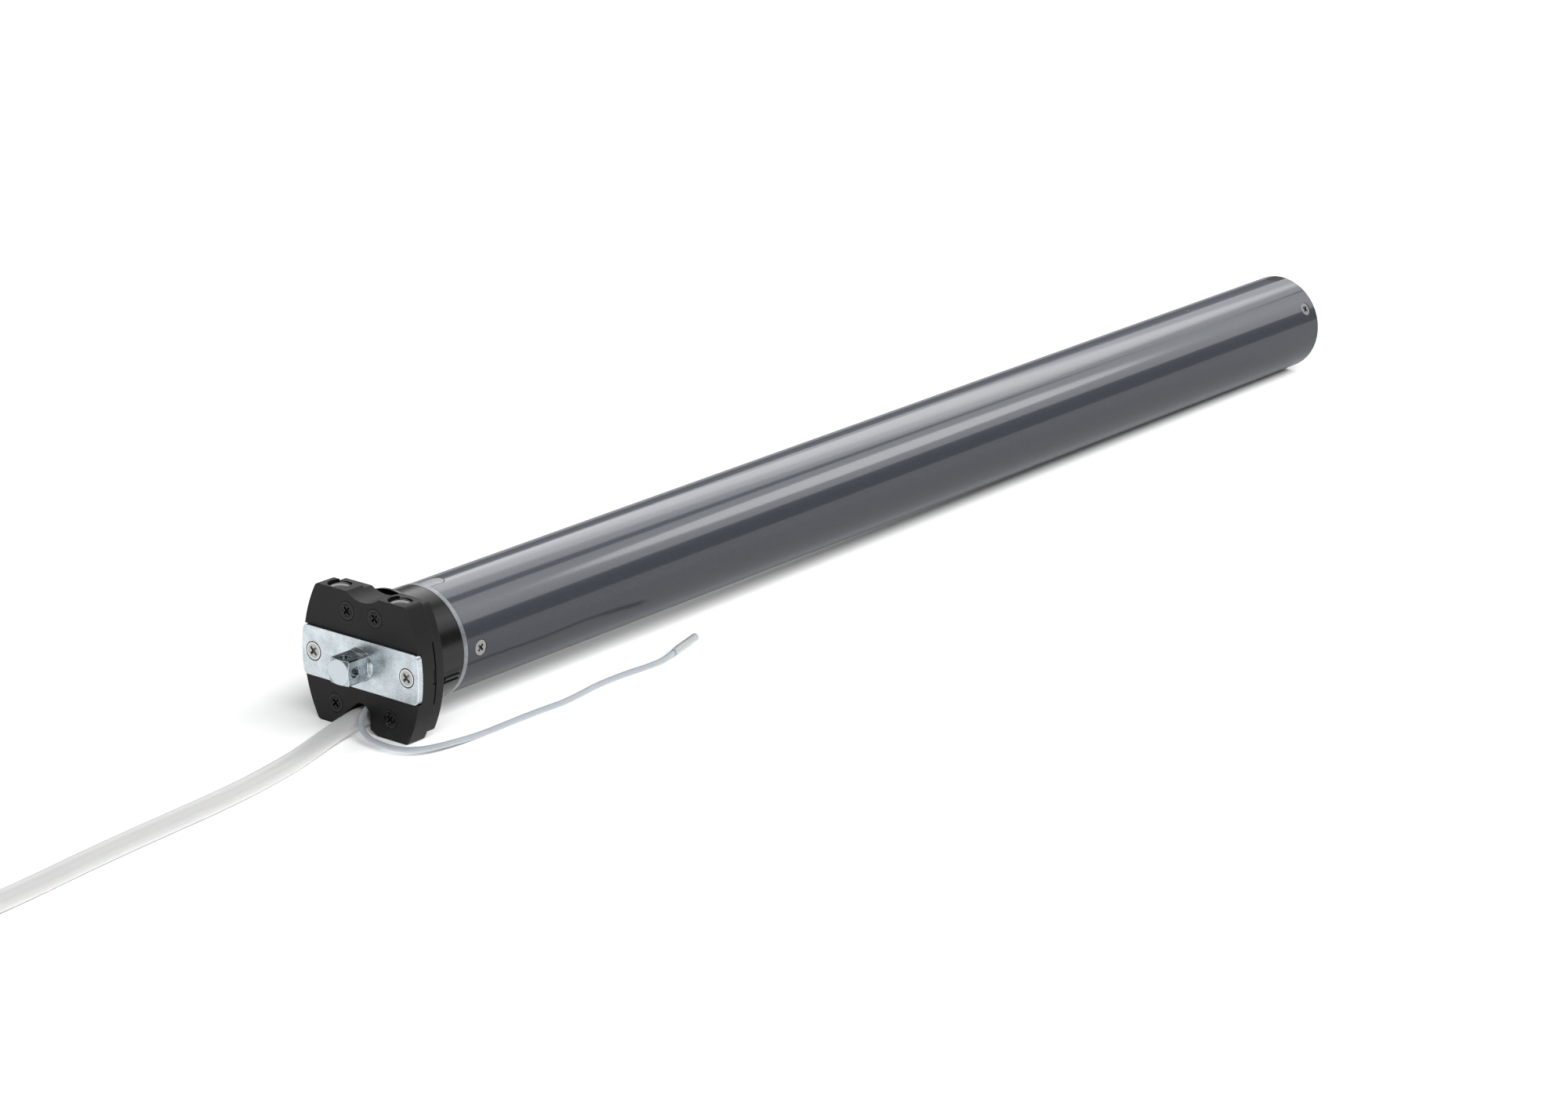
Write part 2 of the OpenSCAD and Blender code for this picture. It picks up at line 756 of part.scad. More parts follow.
// Square pin with the cone at its foot and the rivet that holds it in the plate
module square_pin() {
    color("#b9bcc2")
        difference() {
            union() {
                intersection() {
                    box([-pin_len, -pin_side / 2, -pin_side / 2], [0, pin_side / 2, pin_side / 2]);
                    union() {
                        along_x(-pin_len)
                            cylinder(r1 = pin_tip_r, r2 = pin_bar_r, h = pin_tip_bevel);
                        rod(pin_tip_bevel - pin_len, pin_len, pin_bar_r);
                    }
                }
                along_x(-pin_collar_t)
                    cylinder(r1 = pin_side / 2, r2 = pin_collar_r, h = pin_collar_t);
                rod(-eps, plate_t + 2 * eps, rivet_r);
                rod(plate_t, rivet_head_t, rivet_head_r);
            }
            translate([pin_hole_from_tip - pin_len, 0, 0]) {
                cylinder(r = pin_hole_r, h = 2 * pin_side, center = true);
                rotate([90, 0, 0])
                    cylinder(r = pin_hole_r, h = 2 * pin_side, center = true);
            }
        }
}

module plate_screws() {
    color("#d5d7db")
        for (side = [-1, 1])
            facing_front(0, [side * plate_screw_gap / 2, 0])
                screw(screw_head_r, screw_shank_r, plate_screw_len);
}

module head_screws() {
    color("#2c2c30")
        for (place = head_screws_at)
            facing_front(block_x0, place)
                screw(screw_head_r, screw_shank_r, head_screw_len);
}

// Push button: domed cap, stem and the collar that keeps it in the head
module setting_button(side) {
    color("#303034")
        translate([button_x, side * button_y, 0]) {
            intersection() {
                translate([0, 0, cap_z])
                    cylinder(r = button_r, h = cap_top - cap_z);
                translate([0, 0, cap_top - cap_dome_r])
                    sphere(r = cap_dome_r);
            }
            translate([0, 0, stem_z])
                cylinder(r = stem_r, h = cap_z - stem_z + eps);
            translate([0, 0, nest_z1 - end_gap - collar_t])
                cylinder(r = collar_r, h = collar_t);
        }
}
module setting_button_left() {
    setting_button(1);
}
module setting_button_right() {
    setting_button(-1);
}

// Small board with a push switch under each button
module button_switches() {
    color("#2f6b45")
        for (side = [-1, 1])
            translate([0, side * button_y, nest_z0]) {
                box([nest_x0 + fit_gap, fit_gap - nest_half_w, 0],
                    [nest_x1 - fit_gap, nest_half_w - fit_gap, switch_board_t]);
                translate([button_x, 0, switch_board_t]) {
                    box([-switch_w / 2, -switch_w / 2, 0], [switch_w / 2, switch_w / 2, switch_h]);
                    cylinder(r = plunger_r, h = switch_h + plunger_h);
                }
            }
}

// Ring that the blind's roller turns: lip, drum and key ribs
module crown_ring() {
    color("#232326")
        difference() {
            union() {
                turned(0, [[crown_bore_r, crown_x0], [neck_r, crown_x0], [neck_r, lip_x], [lip_r, lip_x],
                    [lip_r, lip_x + lip_t], [drum_r, lip_x + lip_t], [drum_r, crown_x1], [crown_bore_r, crown_x1]]);
                round_axis(rib_angles)
                    box([crown_x1 - rib_end_gap - rib_len, -rib_w / 2, drum_r - rib_w],
                        [crown_x1 - rib_end_gap, rib_w / 2, drum_r + rib_h]);
            }
            round_axis(spread(magnet_count))
                translate([crown_x1 - magnet_len, 0, magnet_ring_r])
                    rotate([0, 90, 0])
                        cylinder(r = magnet_r + press_gap, h = magnet_len + eps);
        }
}

module crown_magnets() {
    color("#8d9096")
        round_axis(spread(magnet_count))
            translate([crown_x1 - magnet_len, 0, magnet_ring_r])
                rotate([0, 90, 0])
                    cylinder(r = magnet_r, h = magnet_len);
}

// Board with the sensors that count the crown ring's magnets
module crown_sensor_board() {
    color("#2f6b45") {
        box([sensor_x, -sensor_w / 2, sensor_z], [sensor_x + sensor_l, sensor_w / 2, sensor_z + sensor_t]);
        for (side = [-1, 1])
            translate([sensor_x + sensor_l - chip[0], side * chip[1] - chip[1] / 2, sensor_z - chip[2]])
                cube([chip[0], chip[1], chip[2] + eps]);
    }
}

// Tongue of the end ring, and with grow the slot for it in the tube
module tongue_prism(grow) {
    half = tongue_w / 2;
    end_x = tube_x0 + tongue_len - half;
    box([tube_x0 - ring_groove_w - eps, -half - grow, 0], [end_x, half + grow, 2 * tube_r]);
    translate([end_x, 0, 0])
        cylinder(r = half + grow, h = 2 * tube_r);
}

// Key of the rear cap, and with grow the slot for it in the tube
module key_prism(grow) {
    half = key_w / 2;
    end_x = tube_x1 - key_len + half;
    box([end_x, -half - grow, 0], [tube_x1 + grow, half + grow, 2 * tube_r]);
    translate([end_x, 0, 0])
        cylinder(r = half + grow, h = 2 * tube_r);
}

// Screws and their holes through the tube's wall
module tube_screws(x, angles) {
    round_axis(angles)
        translate([x, 0, tube_r - tube_screw_sink])
            screw(tube_screw_head_r, tube_screw_shank_r, tube_screw_len);
}
module tube_screw_spaces(x, angles) {
    round_axis(angles)
        translate([x, 0, tube_r - tube_screw_sink])
            screw_space(tube_screw_head_r, tube_screw_shank_r, tube_screw_len, thread_gap, cut_over);
}

module end_ring() {
    color("#b6babf")
        difference() {
            union() {
                rod(ring_x0, ring_t - ring_groove_w, ring_r_out);
                rod(ring_x0, ring_t, tube_r - ring_groove_in);
                rod(tube_x0 - eps, sleeve_in_tube + eps, inner_r);
                intersection() {
                    rod(tube_x0 - ring_groove_w - eps, 2 * tongue_len, tube_r);
                    tongue_prism(0);
                }
            }
            rod(ring_x0 - eps, sleeve_in_tube + ring_t + 2 * eps, hub_r + press_gap);
            tube_screw_spaces(front_screw_x, front_screw_angles);
        }
}

module motor_tube() {
    color("#5a5e66")
        difference() {
            pipe(tube_x0, tube_len, tube_r, tube_in_r);
            tongue_prism(tongue_gap);
            key_prism(fit_gap);
            tube_screw_spaces(front_screw_x, front_screw_angles);
            tube_screw_spaces(rear_screw_x, rear_screw_angles);
            for (x = stake_x)
                translate([x, 0, tube_r - stake_depth + stake_ball_r])
                    sphere(r = stake_ball_r);
        }
}
module tube_screws_front() {
    color("#c4c7ca")
        tube_screws(front_screw_x, front_screw_angles);
}
module tube_screws_rear() {
    color("#c4c7ca")
        tube_screws(rear_screw_x, rear_screw_angles);
}

// Trough that holds the control board in the tube
module board_carrier() {
    x0 = board_x0 - carrier_end;
    x1 = board_x0 + board_len + carrier_end;
    in_r = inner_r - carrier_wall;
    color("#3a3a3e") {
        difference() {
            rod(x0, x1 - x0, inner_r);
            rod(x0 + carrier_end_t, x1 - x0 - 2 * carrier_end_t, in_r);
            box([x0 - eps, -tube_r, carrier_top], [x1 + eps, tube_r, tube_r]);
            rod(x0 - eps, x1 - x0 + 2 * eps, in_r / 2);
        }
        intersection() {
            rod(board_x0, board_len, in_r + eps);
            for (flip = [0, 1])
                mirror([0, flip, 0])
                    box([board_x0, board_w / 2 - rail_w, board_z - rail_h], [board_x0 + board_len, tube_r, board_z]);
        }
    }
}

module control_board() {
    color("#2f6b45")
        box([board_x0, -board_w / 2, board_z], [board_x0 + board_len, board_w / 2, board_top]);
}
module relays() {
    color("#2a5d9c")
        for (side = [-1, 1])
            translate([relay_x, side * (relay[1] / 2 + fit_gap) - relay[1] / 2, board_top])
                cube(relay);
}
module supply_module() {
    color("#3b3b3f")
        translate([supply_x, -supply[1] / 2, board_top])
            cube(supply);
}
module radio_module() {
    color("#2b7a54")
        translate([radio_x, -radio[1] / 2, board_top])
            cube(radio);
}

// Terminal block with three wire holes
module terminal_block() {
    color("#3f8f5a")
        difference() {
            translate([terminal_x, -terminal[1] / 2, board_top])
                cube(terminal);
            for (i = [-1, 0, 1])
                translate([0, i * wire_hole_gap, board_top + terminal[2] / 2])
                    rod(terminal_x - eps, terminal[0] / 2, wire_hole_r);
        }
}

// Run capacitor with its two blade terminals
module run_capacitor() {
    x1 = capacitor_x + capacitor_len;
    color("#d9dadc") {
        rod(capacitor_x, capacitor_len, capacitor_r);
        for (side = [-1, 1])
            box([x1 - eps, side * tab_y - tab[0] / 2, -tab[1] / 2],
                [x1 + tab[2], side * tab_y + tab[0] / 2, tab[1] / 2]);
    }
}
module capacitor_holder() {
    color("#46464a")
        difference() {
            rod(capacitor_x - holder_wall, capacitor_len + holder_wall, inner_r);
            rod(capacitor_x, capacitor_len + eps, capacitor_r + fit_gap);
            rod(capacitor_x - holder_wall - eps, holder_wall + 2 * eps, capacitor_r / 2);
            box([capacitor_x + holder_cut_in, -holder_cut_w / 2, -tube_r],
                [capacitor_x + capacitor_len - holder_cut_in, holder_cut_w / 2, tube_r]);
        }
}

// End shield of the motor, drawn for the rear one
module motor_shield() {
    color("#9a9ea4")
        difference() {
            turned(0, [[bush_r + press_gap, 0], [inner_r, 0], [inner_r, shield_len],
                [inner_r - rim_t, shield_len], [inner_r - rim_t, web_t], [bush_hub_r, web_t],
                [bush_hub_r, bush_len], [bush_r + press_gap, bush_len]]);
            round_axis(spread(vent_count))
                translate([-eps, 0, vent_ring_r])
                    rotate([0, 90, 0])
                        cylinder(r = vent_r, h = web_t + 2 * eps);
        }
}
module motor_shield_rear() {
    translate([rear_shield_x, 0, 0])
        motor_shield();
}
module motor_shield_front() {
    translate([brake_x0, 0, 0])
        mirror([1, 0, 0])
            motor_shield();
}
module rotor_bushes() {
    color("#b08d57") {
        pipe(rear_shield_x, bush_len, bush_r, rotor_shaft_r + run_gap);
        pipe(brake_x0 - bush_len, bush_len, bush_r, rotor_shaft_r + run_gap);
    }
}

// Laminated stator with its slots
module stator_core() {
    color("#6f7277")
        along_x(stator_x0)
            linear_extrude(stator_len)
                difference() {
                    circle(r = inner_r);
                    circle(r = stator_bore_r);
                    for (a = spread(slot_count))
                        rotate(a) {
                            translate([slot_r0, -slot_w / 2])
                                square([slot_r1 - slot_r0, slot_w]);
                            translate([0, -slot_mouth_w / 2])
                                square([slot_r0 + eps, slot_mouth_w]);
                        }
                }
}

// Copper windings: a bar in each slot and the end turns on both sides
module stator_windings() {
    bar_w = slot_w - 2 * fit_gap;
    low = slot_r0 + fit_gap;
    high = slot_r1 - fit_gap;
    color("#b5652d") {
        for (x = [stator_x0 - winding_len, stator_x1])
            pipe(x, winding_len, high, low);
        round_axis([for (a = spread(slot_count)) 90 - a])
            box([stator_x0 - eps, -bar_w / 2, low], [stator_x1 + eps, bar_w / 2, high]);
    }
}

module rotor_core() {
    color("#7d8086")
        pipe(stator_x0, stator_len, rotor_r, rotor_shaft_r + press_gap);
}
module rotor_end_rings() {
    color("#bfc2c6")
        for (x = [stator_x0 - end_ring_len, stator_x1])
            pipe(x, end_ring_len, end_ring_r1, end_ring_r0);
}

// Gear drawn at the origin, one tooth along +x, drawn out along +z
module gear(z, face) {
    pitch_r = gear_m * z / 2;
    linear_extrude(face)
        polygon(gear_outline(z, tooth_thinning, pitch_r - dedendum, pitch_r + addendum));
}

// Rotor's shaft with the first sun gear cut on its end
module rotor_shaft() {
    color("#c3c6ca") {
        rod(shaft_x0, stage_1_x - shaft_x0 + eps, rotor_shaft_r);
        along_x(stage_1_x)
            gear(sun_teeth, face_1);
    }
}

// Pot magnet of the brake with the pins that guide its armature
module brake_magnet() {
    color("#85888d") {
        difference() {
            rod(brake_x0, brake_len, brake_r);
            rod(brake_x0 - eps, brake_len + 2 * eps, shaft_hole_r);
            rod(brake_x1 - spring_hole_depth, spring_hole_depth + eps, spring_hole_r);
            pipe(brake_x1 - coil_groove_depth, coil_groove_depth + eps, coil_groove_r1, coil_groove_r0);
        }
        round_axis(spread(guide_count))
            translate([brake_x1 - eps, 0, guide_ring_r])
                rotate([0, 90, 0])
                    cylinder(r = guide_r, h = housing_x0 - brake_x1);
    }
}
module brake_coil() {
    color("#a4552a")
        pipe(brake_x1 - coil_groove_depth, coil_groove_depth - fit_gap,
            coil_groove_r1 - fit_gap, coil_groove_r0 + fit_gap);
}
module brake_armature() {
    color("#777a80")
        difference() {
            pipe(armature_x, armature_t, brake_r, shaft_hole_r);
            round_axis(spread(guide_count))
                translate([armature_x - eps, 0, guide_ring_r])
                    rotate([0, 90, 0])
                        cylinder(r = guide_r + run_gap, h = armature_t + 2 * eps);
        }
}

// Helical spring that presses the armature on the disc
module brake_spring() {
    steps = spring_turns * spring_rings;
    x0 = brake_x1 - spring_hole_depth + spring_wire_r + eps;
    rise = spring_hole_depth - 2 * spring_wire_r - 2 * eps;
    path = [for (i = [0 : steps]) [spring_r * cos(360 * i / spring_rings), spring_r * sin(360 * i / spring_rings),
        rise * i / steps]];
    color("#b9bcc0")
        along_x(x0)
            polyhedron([for (i = [0 : steps]) each ring_points(path, i, spring_wire_r, coil_sides)],
                tube_faces(steps + 1, coil_sides));
}
module brake_disc() {
    color("#54504b")
        pipe(disc_x, disc_t, brake_disc_r, rotor_shaft_r + press_gap);
}

// Gearbox housing with the ring gear that all three stages share
module gearbox_housing() {
    color("#4a4a4e")
        difference() {
            rod(housing_x0, housing_x1 - housing_x0, inner_r);
            rod(housing_x0 - eps, gear_cut_x0 - housing_x0 + 2 * eps, shaft_hole_r);
            along_x(gear_cut_x0)
                linear_extrude(gear_cut_x1 - gear_cut_x0)
                    polygon(gear_outline(ring_teeth, -tooth_thinning, ring_r - ring_addendum, ring_r + dedendum));
            rod(gear_cut_x1 - eps, housing_x1 - gear_cut_x1 + 2 * eps, output_r + end_gap);
            rod(housing_x1 - output_bush_len, output_bush_len + eps, output_bush_r + press_gap);
        }
}

// Planet gear number k of a stage
module planet(x, face, k) {
    color("#c9a35a")
        along_x(x)
            rotate(120 * k)
                translate([planet_orbit, 0, 0])
                    difference() {
                        gear(planet_teeth, face);
                        translate([0, 0, -eps])
                            cylinder(r = planet_pin_r + run_gap, h = face + 2 * eps);
                    }
}
module planet_1a() {
    planet(stage_1_x, face_1, 0);
}
module planet_1b() {
    planet(stage_1_x, face_1, 1);
}
module planet_1c() {
    planet(stage_1_x, face_1, 2);
}
module planet_2a() {
    planet(stage_2_x, face_2, 0);
}
module planet_2b() {
    planet(stage_2_x, face_2, 1);
}
module planet_2c() {
    planet(stage_2_x, face_2, 2);
}
module planet_3a() {
    planet(stage_3_x, face_3, 0);
}
module planet_3b() {
    planet(stage_3_x, face_3, 1);
}
module planet_3c() {
    planet(stage_3_x, face_3, 2);
}

// Planet carrier: plate with three pins that reach back through the planets
module carrier(x, plate_t, pin_len) {
    rod(x, plate_t, carrier_r);
    along_x(x - pin_len)
        for (k = [0 : 2])
            rotate(120 * k)
                translate([planet_orbit, 0, 0])
                    cylinder(r = planet_pin_r, h = pin_len + eps);
}
module carrier_1() {
    color("#b9bcc2") {
        carrier(carrier_1_x, carrier_plate_t, face_1 + side_gap);
        along_x(carrier_1_x + carrier_plate_t - eps)
            gear(sun_teeth, face_2 + side_gap + eps);
    }
}
module carrier_2() {
    color("#b9bcc2") {
        carrier(carrier_2_x, carrier_plate_t, face_2 + side_gap);
        along_x(carrier_2_x + carrier_plate_t - eps)
            gear(sun_teeth, face_3 + side_gap + eps);
    }
}

// Output shaft with the last carrier, a hexagon end and a groove for its clip
module output_shaft() {
    color("#c3c6ca")
        difference() {
            union() {
                carrier(carrier_3_x, last_plate_t, face_3 + side_gap);
                rod(carrier_3_x1 - eps, flats_x0 - carrier_3_x1 + eps, output_r);
                along_x(flats_x0 - eps)
                    cylinder(r = output_flats / 2 / cos(30), h = output_x1 - flats_x0 + eps, $fn = 6);
            }
            pipe(clip_x, clip_t + fit_gap, output_flats, clip_in_r);
        }
}
module output_clip() {
    color("#8d9096")
        difference() {
            pipe(clip_x + fit_gap / 2, clip_t, clip_r, clip_in_r + press_gap);
            box([clip_x - eps, -clip_mouth, -2 * clip_r], [clip_x + 2 * clip_t, clip_mouth, 0]);
        }
}
module output_bush() {
    color("#b08d57") {
        pipe(housing_x1 - output_bush_len, output_bush_len, output_bush_r, output_r + run_gap);
        pipe(tube_x1 - output_bush_len, output_bush_len, output_bush_r, output_r + run_gap);
    }
}

// Cap that closes the tube's far end, keyed in the tube's edge
module rear_cap() {
    color("#242427")
        difference() {
            union() {
                rod(housing_x1, tube_x1 - housing_x1, inner_r);
                intersection() {
                    rod(tube_x1 - 2 * key_len, 2 * key_len, tube_r);
                    key_prism(0);
                }
            }
            rod(housing_x1 - eps, tube_x1 - housing_x1 + 2 * eps, output_r + end_gap);
            rod(tube_x1 - output_bush_len, output_bush_len + eps, output_bush_r + press_gap);
            tube_screw_spaces(rear_screw_x, rear_screw_angles);
        }
}

// Moulded piece that closes the notch round the cable and the wire
module cable_entry() {
    color("#232326") {
        along_x(entry_x0)
            linear_extrude(block_x1 - entry_x0)
                intersection() {
                    notch_2d(fit_gap);
                    translate([-side_r, floor_z + fit_gap])
                        square([2 * side_r, head_half_h]);
                }
        along_x(block_x1 - eps)
            linear_extrude(entry_x1 - block_x1 + eps)
                intersection() {
                    notch_2d(fit_gap);
                    translate([-side_r, fit_gap - flange_bottom])
                        square([2 * side_r, head_half_h]);
                }
    }
}

// Tube along a route
module swept(path, r, sides) {
    polyhedron([for (i = [0 : len(path) - 1]) each ring_points(path, i, r, sides)], tube_faces(len(path), sides));
}
module power_cable() {
    color("#e9e9e7")
        swept(cable_points, cable_r, cable_sides);
}
module power_cable_coil() {
    color("#e9e9e7")
        swept(coil_points, cable_r, coil_sides);
}

// Band round the coil's bundle of turns
module coil_tie() {
    low = coil_inner - cable_r - 2 * tie_gap;
    high = coil_radius(coil_turns - 0.5) + cable_r + 2 * tie_gap;
    bottom = coil_z - cable_r - tie_gap;
    top = coil_z + coil_pitch + cable_r + tie_gap;
    color("#3a3a3e")
        translate([coil_centre[0], coil_centre[1], 0])
            difference() {
                box([-tie_w / 2, low - tie_t, bottom - tie_t], [tie_w / 2, high + tie_t, top + tie_t]);
                box([-tie_w, low, bottom], [tie_w, high, top]);
            }
}

// Bare cores at the cable's end
module cable_cores() {
    color("#8a5a3a")
        translate(coil_last - [cable_d + core_len, 0, 0])
            rotate([90, 0, 90])
                for (k = [0 : core_count - 1])
                    rotate(360 * k / core_count)
                        translate([core_ring_r, 0, 0])
                            cylinder(r = core_r, h = core_len);
}
module antenna_wire() {
    color("#c3cbd6")
        swept(wire_points, wire_r, wire_sides);
}
module antenna_sleeve() {
    color("#dfe3e6")
        translate(sleeve_at)
            rotate([0, 90, sleeve_turn]) {
                cylinder(r = sleeve_r, h = sleeve_len - sleeve_r);
                translate([0, 0, sleeve_len - sleeve_r])
                    sphere(r = sleeve_r);
            }
}

head_front();
head_body();
mounting_plate();
square_pin();
plate_screws();
head_screws();
setting_button_left();
setting_button_right();
button_switches();
crown_ring();
crown_magnets();
crown_sensor_board();
end_ring();
motor_tube();
tube_screws_front();
tube_screws_rear();
board_carrier();
control_board();
relays();
supply_module();
radio_module();
terminal_block();
run_capacitor();
capacitor_holder();
motor_shield_rear();
motor_shield_front();
rotor_bushes();
stator_core();
stator_windings();
rotor_core();
rotor_end_rings();
rotor_shaft();
brake_magnet();
brake_coil();
brake_armature();
brake_spring();
brake_disc();
gearbox_housing();
planet_1a();
planet_1b();
planet_1c();
planet_2a();
planet_2b();
planet_2c();
planet_3a();
planet_3b();
planet_3c();
carrier_1();
carrier_2();
output_shaft();
output_bush();
rear_cap();
output_clip();
cable_entry();
power_cable();
power_cable_coil();
coil_tie();
cable_cores();
antenna_wire();
antenna_sleeve();
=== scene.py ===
"""Tubular roller blind motor, dressed for the camera.

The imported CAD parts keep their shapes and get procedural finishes. The free cords are swept surfaces that
lie on the routes of their solids. Everything stands in the frame of the CAD model: +X runs along the tube
away from the square pin, +Z is up and the origin is in the front face of the mounting plate.
"""
import math

import bpy
import numpy as np
from bpy.props import FloatProperty, FloatVectorProperty, IntProperty, PointerProperty
from mathutils import Matrix, Vector


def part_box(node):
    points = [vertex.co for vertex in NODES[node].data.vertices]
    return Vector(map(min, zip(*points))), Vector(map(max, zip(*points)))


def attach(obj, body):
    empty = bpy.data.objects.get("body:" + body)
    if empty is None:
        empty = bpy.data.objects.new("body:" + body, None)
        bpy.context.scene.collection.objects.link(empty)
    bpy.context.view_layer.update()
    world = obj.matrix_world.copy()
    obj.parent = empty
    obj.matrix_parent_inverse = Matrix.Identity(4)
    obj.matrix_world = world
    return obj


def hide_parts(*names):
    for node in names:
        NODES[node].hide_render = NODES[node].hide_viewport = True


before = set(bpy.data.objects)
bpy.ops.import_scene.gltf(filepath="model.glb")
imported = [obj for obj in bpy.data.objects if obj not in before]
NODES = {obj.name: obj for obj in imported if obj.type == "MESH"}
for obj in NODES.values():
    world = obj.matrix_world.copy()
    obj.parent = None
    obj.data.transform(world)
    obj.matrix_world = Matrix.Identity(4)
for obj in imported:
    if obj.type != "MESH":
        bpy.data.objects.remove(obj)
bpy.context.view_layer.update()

bl_info = {
    "name": "Tubular roller blind motor",
    "version": (1, 0, 0),
    "blender": (4, 5, 0),
    "location": "View3D > Sidebar > Motor",
    "description": "Finishes, cords and studio for a tubular motor that turns a roller blind",
    "category": "Object",
}

MM = 0.001
# Height of the head's lowest flats, on which the motor rests, in metres and in millimetres
REST_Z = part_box("head_front")[0].z
LOW = -27.5

# Power cable, in millimetres. The first point of its route is inside the cable entry, and the last is where
# its coil begins. The coil lies on the band of its tie, which lifts it a little.
CABLE_D = 7.6
CABLE_Z = LOW + CABLE_D / 2
CABLE_STEP = 3.0
COIL_LIFT = 1.1
COIL_START = (-240, -27.2)
COIL_Z = CABLE_Z + COIL_LIFT
CABLE_ROUTE = [
    (8, 2.2, -22.4), (0, 2.2, -22.4), (-7, 1.3, -22.9), (-14, 0.2, -23.4), (-22, -1.8, CABLE_Z),
    (-31, -4.6, CABLE_Z), (-43, -8.1, CABLE_Z), (-58, -11.3, CABLE_Z), (-74, -14, CABLE_Z),
    (-93, -16.2, CABLE_Z), (-115, -17.8, CABLE_Z), (-140, -19.6, CABLE_Z), (-165, -21.9, CABLE_Z),
    (-190, -24.6, CABLE_Z), (-208, -26.3, CABLE_Z + 0.3), (-224, -27.2, COIL_Z), (*COIL_START, COIL_Z)]
# The coil's turns and the points in each, its pitch, and its diameter at the middle of its turns as a number
# of cable diameters
COIL_TURNS = 5
COIL_POINTS = 72
COIL_PITCH = CABLE_D + 0.5
COIL_ACROSS = 11
COIL_INNER = (COIL_ACROSS * CABLE_D - COIL_TURNS / 2 * COIL_PITCH) / 2
COIL_CENTRE = (COIL_START[0] - CABLE_D, COIL_START[1] + COIL_INNER + COIL_TURNS / 2 * COIL_PITCH)

# Sleeve on the aerial's end, in millimetres: diameter, length and place, its heading in degrees, the share
# of its length over which it swells, and the share of its full radius that it starts with
SLEEVE_D = 3.4
SLEEVE_LEN = 22
SLEEVE_AT = (141.9, -36.1, LOW + SLEEVE_D / 2)
SLEEVE_TURN = 15
SLEEVE_SWELL = 0.3
SLEEVE_START = 0.8
SLEEVE_SIDES = 24
# Square of the last ring's share of the radius, so that the ball's pole is a small face
LEAST_TIP = 0.0006

# Aerial wire, in millimetres, from inside the cable entry to its sleeve
WIRE_D = 2.3
WIRE_Z = LOW + WIRE_D / 2
WIRE_STEP = 1.2
WIRE_ROUTE = [
    (8, -0.6, -17.7), (4, -0.6, -17.7), (1, -1.6, -18.2), (-1, -2.5, -18.9), (-4, -4.1, -20.3),
    (-6, -6, -21.8), (-7.4, -8.6, -23.4), (-8.3, -12, -24.5), (-9, -17, -25), (-9.4, -22, -25),
    (-8.8, -27, -25), (-6.6, -31.4, -25), (-2.6, -34.8, -25), (3, -37, -25), (10, -38, -25.3),
    (18, -38.2, -25.9), (27, -38.2, WIRE_Z), (37.5, -38.3, WIRE_Z), (48, -38.2, WIRE_Z),
    (60, -38.5, WIRE_Z), (73, -39, WIRE_Z), (84, -38, WIRE_Z), (94.5, -36.7, WIRE_Z), (104, -36.4, WIRE_Z),
    (114, -36.8, WIRE_Z), (125, -37.7, WIRE_Z), (134, -37.8, WIRE_Z + 0.2), (138.5, -37, SLEEVE_AT[2]),
    SLEEVE_AT]

# Cores at the cable's end, in millimetres: their reach, the radius of the ring that they stand in, how
# far they splay, and the radii of a core and of its copper
CORE_REACH = 25.0
CORE_RING_R = 1.7
CORE_SPLAY = 0.9
CORE_R = 0.9
COPPER_R = 0.55
# Points along a core, how many of them its skin covers, and faces round the skin and the copper
CORE_POINTS = 15
CORE_SKIN_POINTS = 12
CORE_SIDES = 12
COPPER_SIDES = 10

# Screw heads, in millimetres: their radius, and their distances from the middle plane and heights, which
# place the painted shade ring and highlight ring on each head
SCREW_HEAD_R = 3.8
PLATE_SCREWS = ((24.2, 0.0),)
HEAD_SCREWS = ((7.2, 19.6), (14.2, -19.0))
# The pin is pale from its end to here
PIN_TIP_X = -11.4

# The camera: its place in metres, where it looks and what lies to its right
CAMERA_PLACE = (-1.1440, -1.1106, 0.5676)
CAMERA_LOOK = (0.7447, 0.5899, -0.3121)
CAMERA_RIGHT = (0.6228, -0.7824, 0.0073)
SENSOR_WIDTH = 36.0
CAMERA_NEAR, CAMERA_FAR = 0.05, 60.0

# The floor rises from beyond the aerial to the tube's far rim, in millimetres
RISE_START = 165.0
RISE_END = 643.8
RISE = 5.0
FLOOR_REACH = 15000.0

# Lights: name, shape, angle from straight up towards the near side and spread, both in degrees, length
# and middle along the tube in metres, slant in degrees, brightness, and distance from the tube in metres
SOFTBOXES = (
    ("near_wide", "RECTANGLE", 36, 48, 5.0, 1.6, 0, 1.2, 1.5),
    ("near_hot", "ELLIPSE", 36, 26, 1.6, 2.05, 0, 0.9, 1.5),
    ("near_heart", "ELLIPSE", 35, 20, 0.9, 2.05, 0, 2.4, 1.5),
    ("far_wide", "RECTANGLE", -29, 54, 3.9, 1.7, -18, 1.35, 1.5),
    ("far_hot", "RECTANGLE", -40, 28, 3.9, 1.5, -34, 1.0, 1.5),
    ("far_edge", "RECTANGLE", -46, 16, 3.9, 1.5, -34, 0.75, 1.5))
FLOOR_LIGHTS = (
    ("floor_key", "RECTANGLE", 42, 30, 16.0, 0.3, 0, 5.6, 4.0),
    ("floor_back", "RECTANGLE", -62, 16, 18.0, 0.3, 0, 3.6, 6.5))
# The lacquer is lit by this much more than the rest
LACQUER_GAIN = 2.4
SKY_COLOUR = (0.97, 0.985, 1.0, 1.0)
SKY_LEVEL = 0.2


# Sizes and colours that a user would change

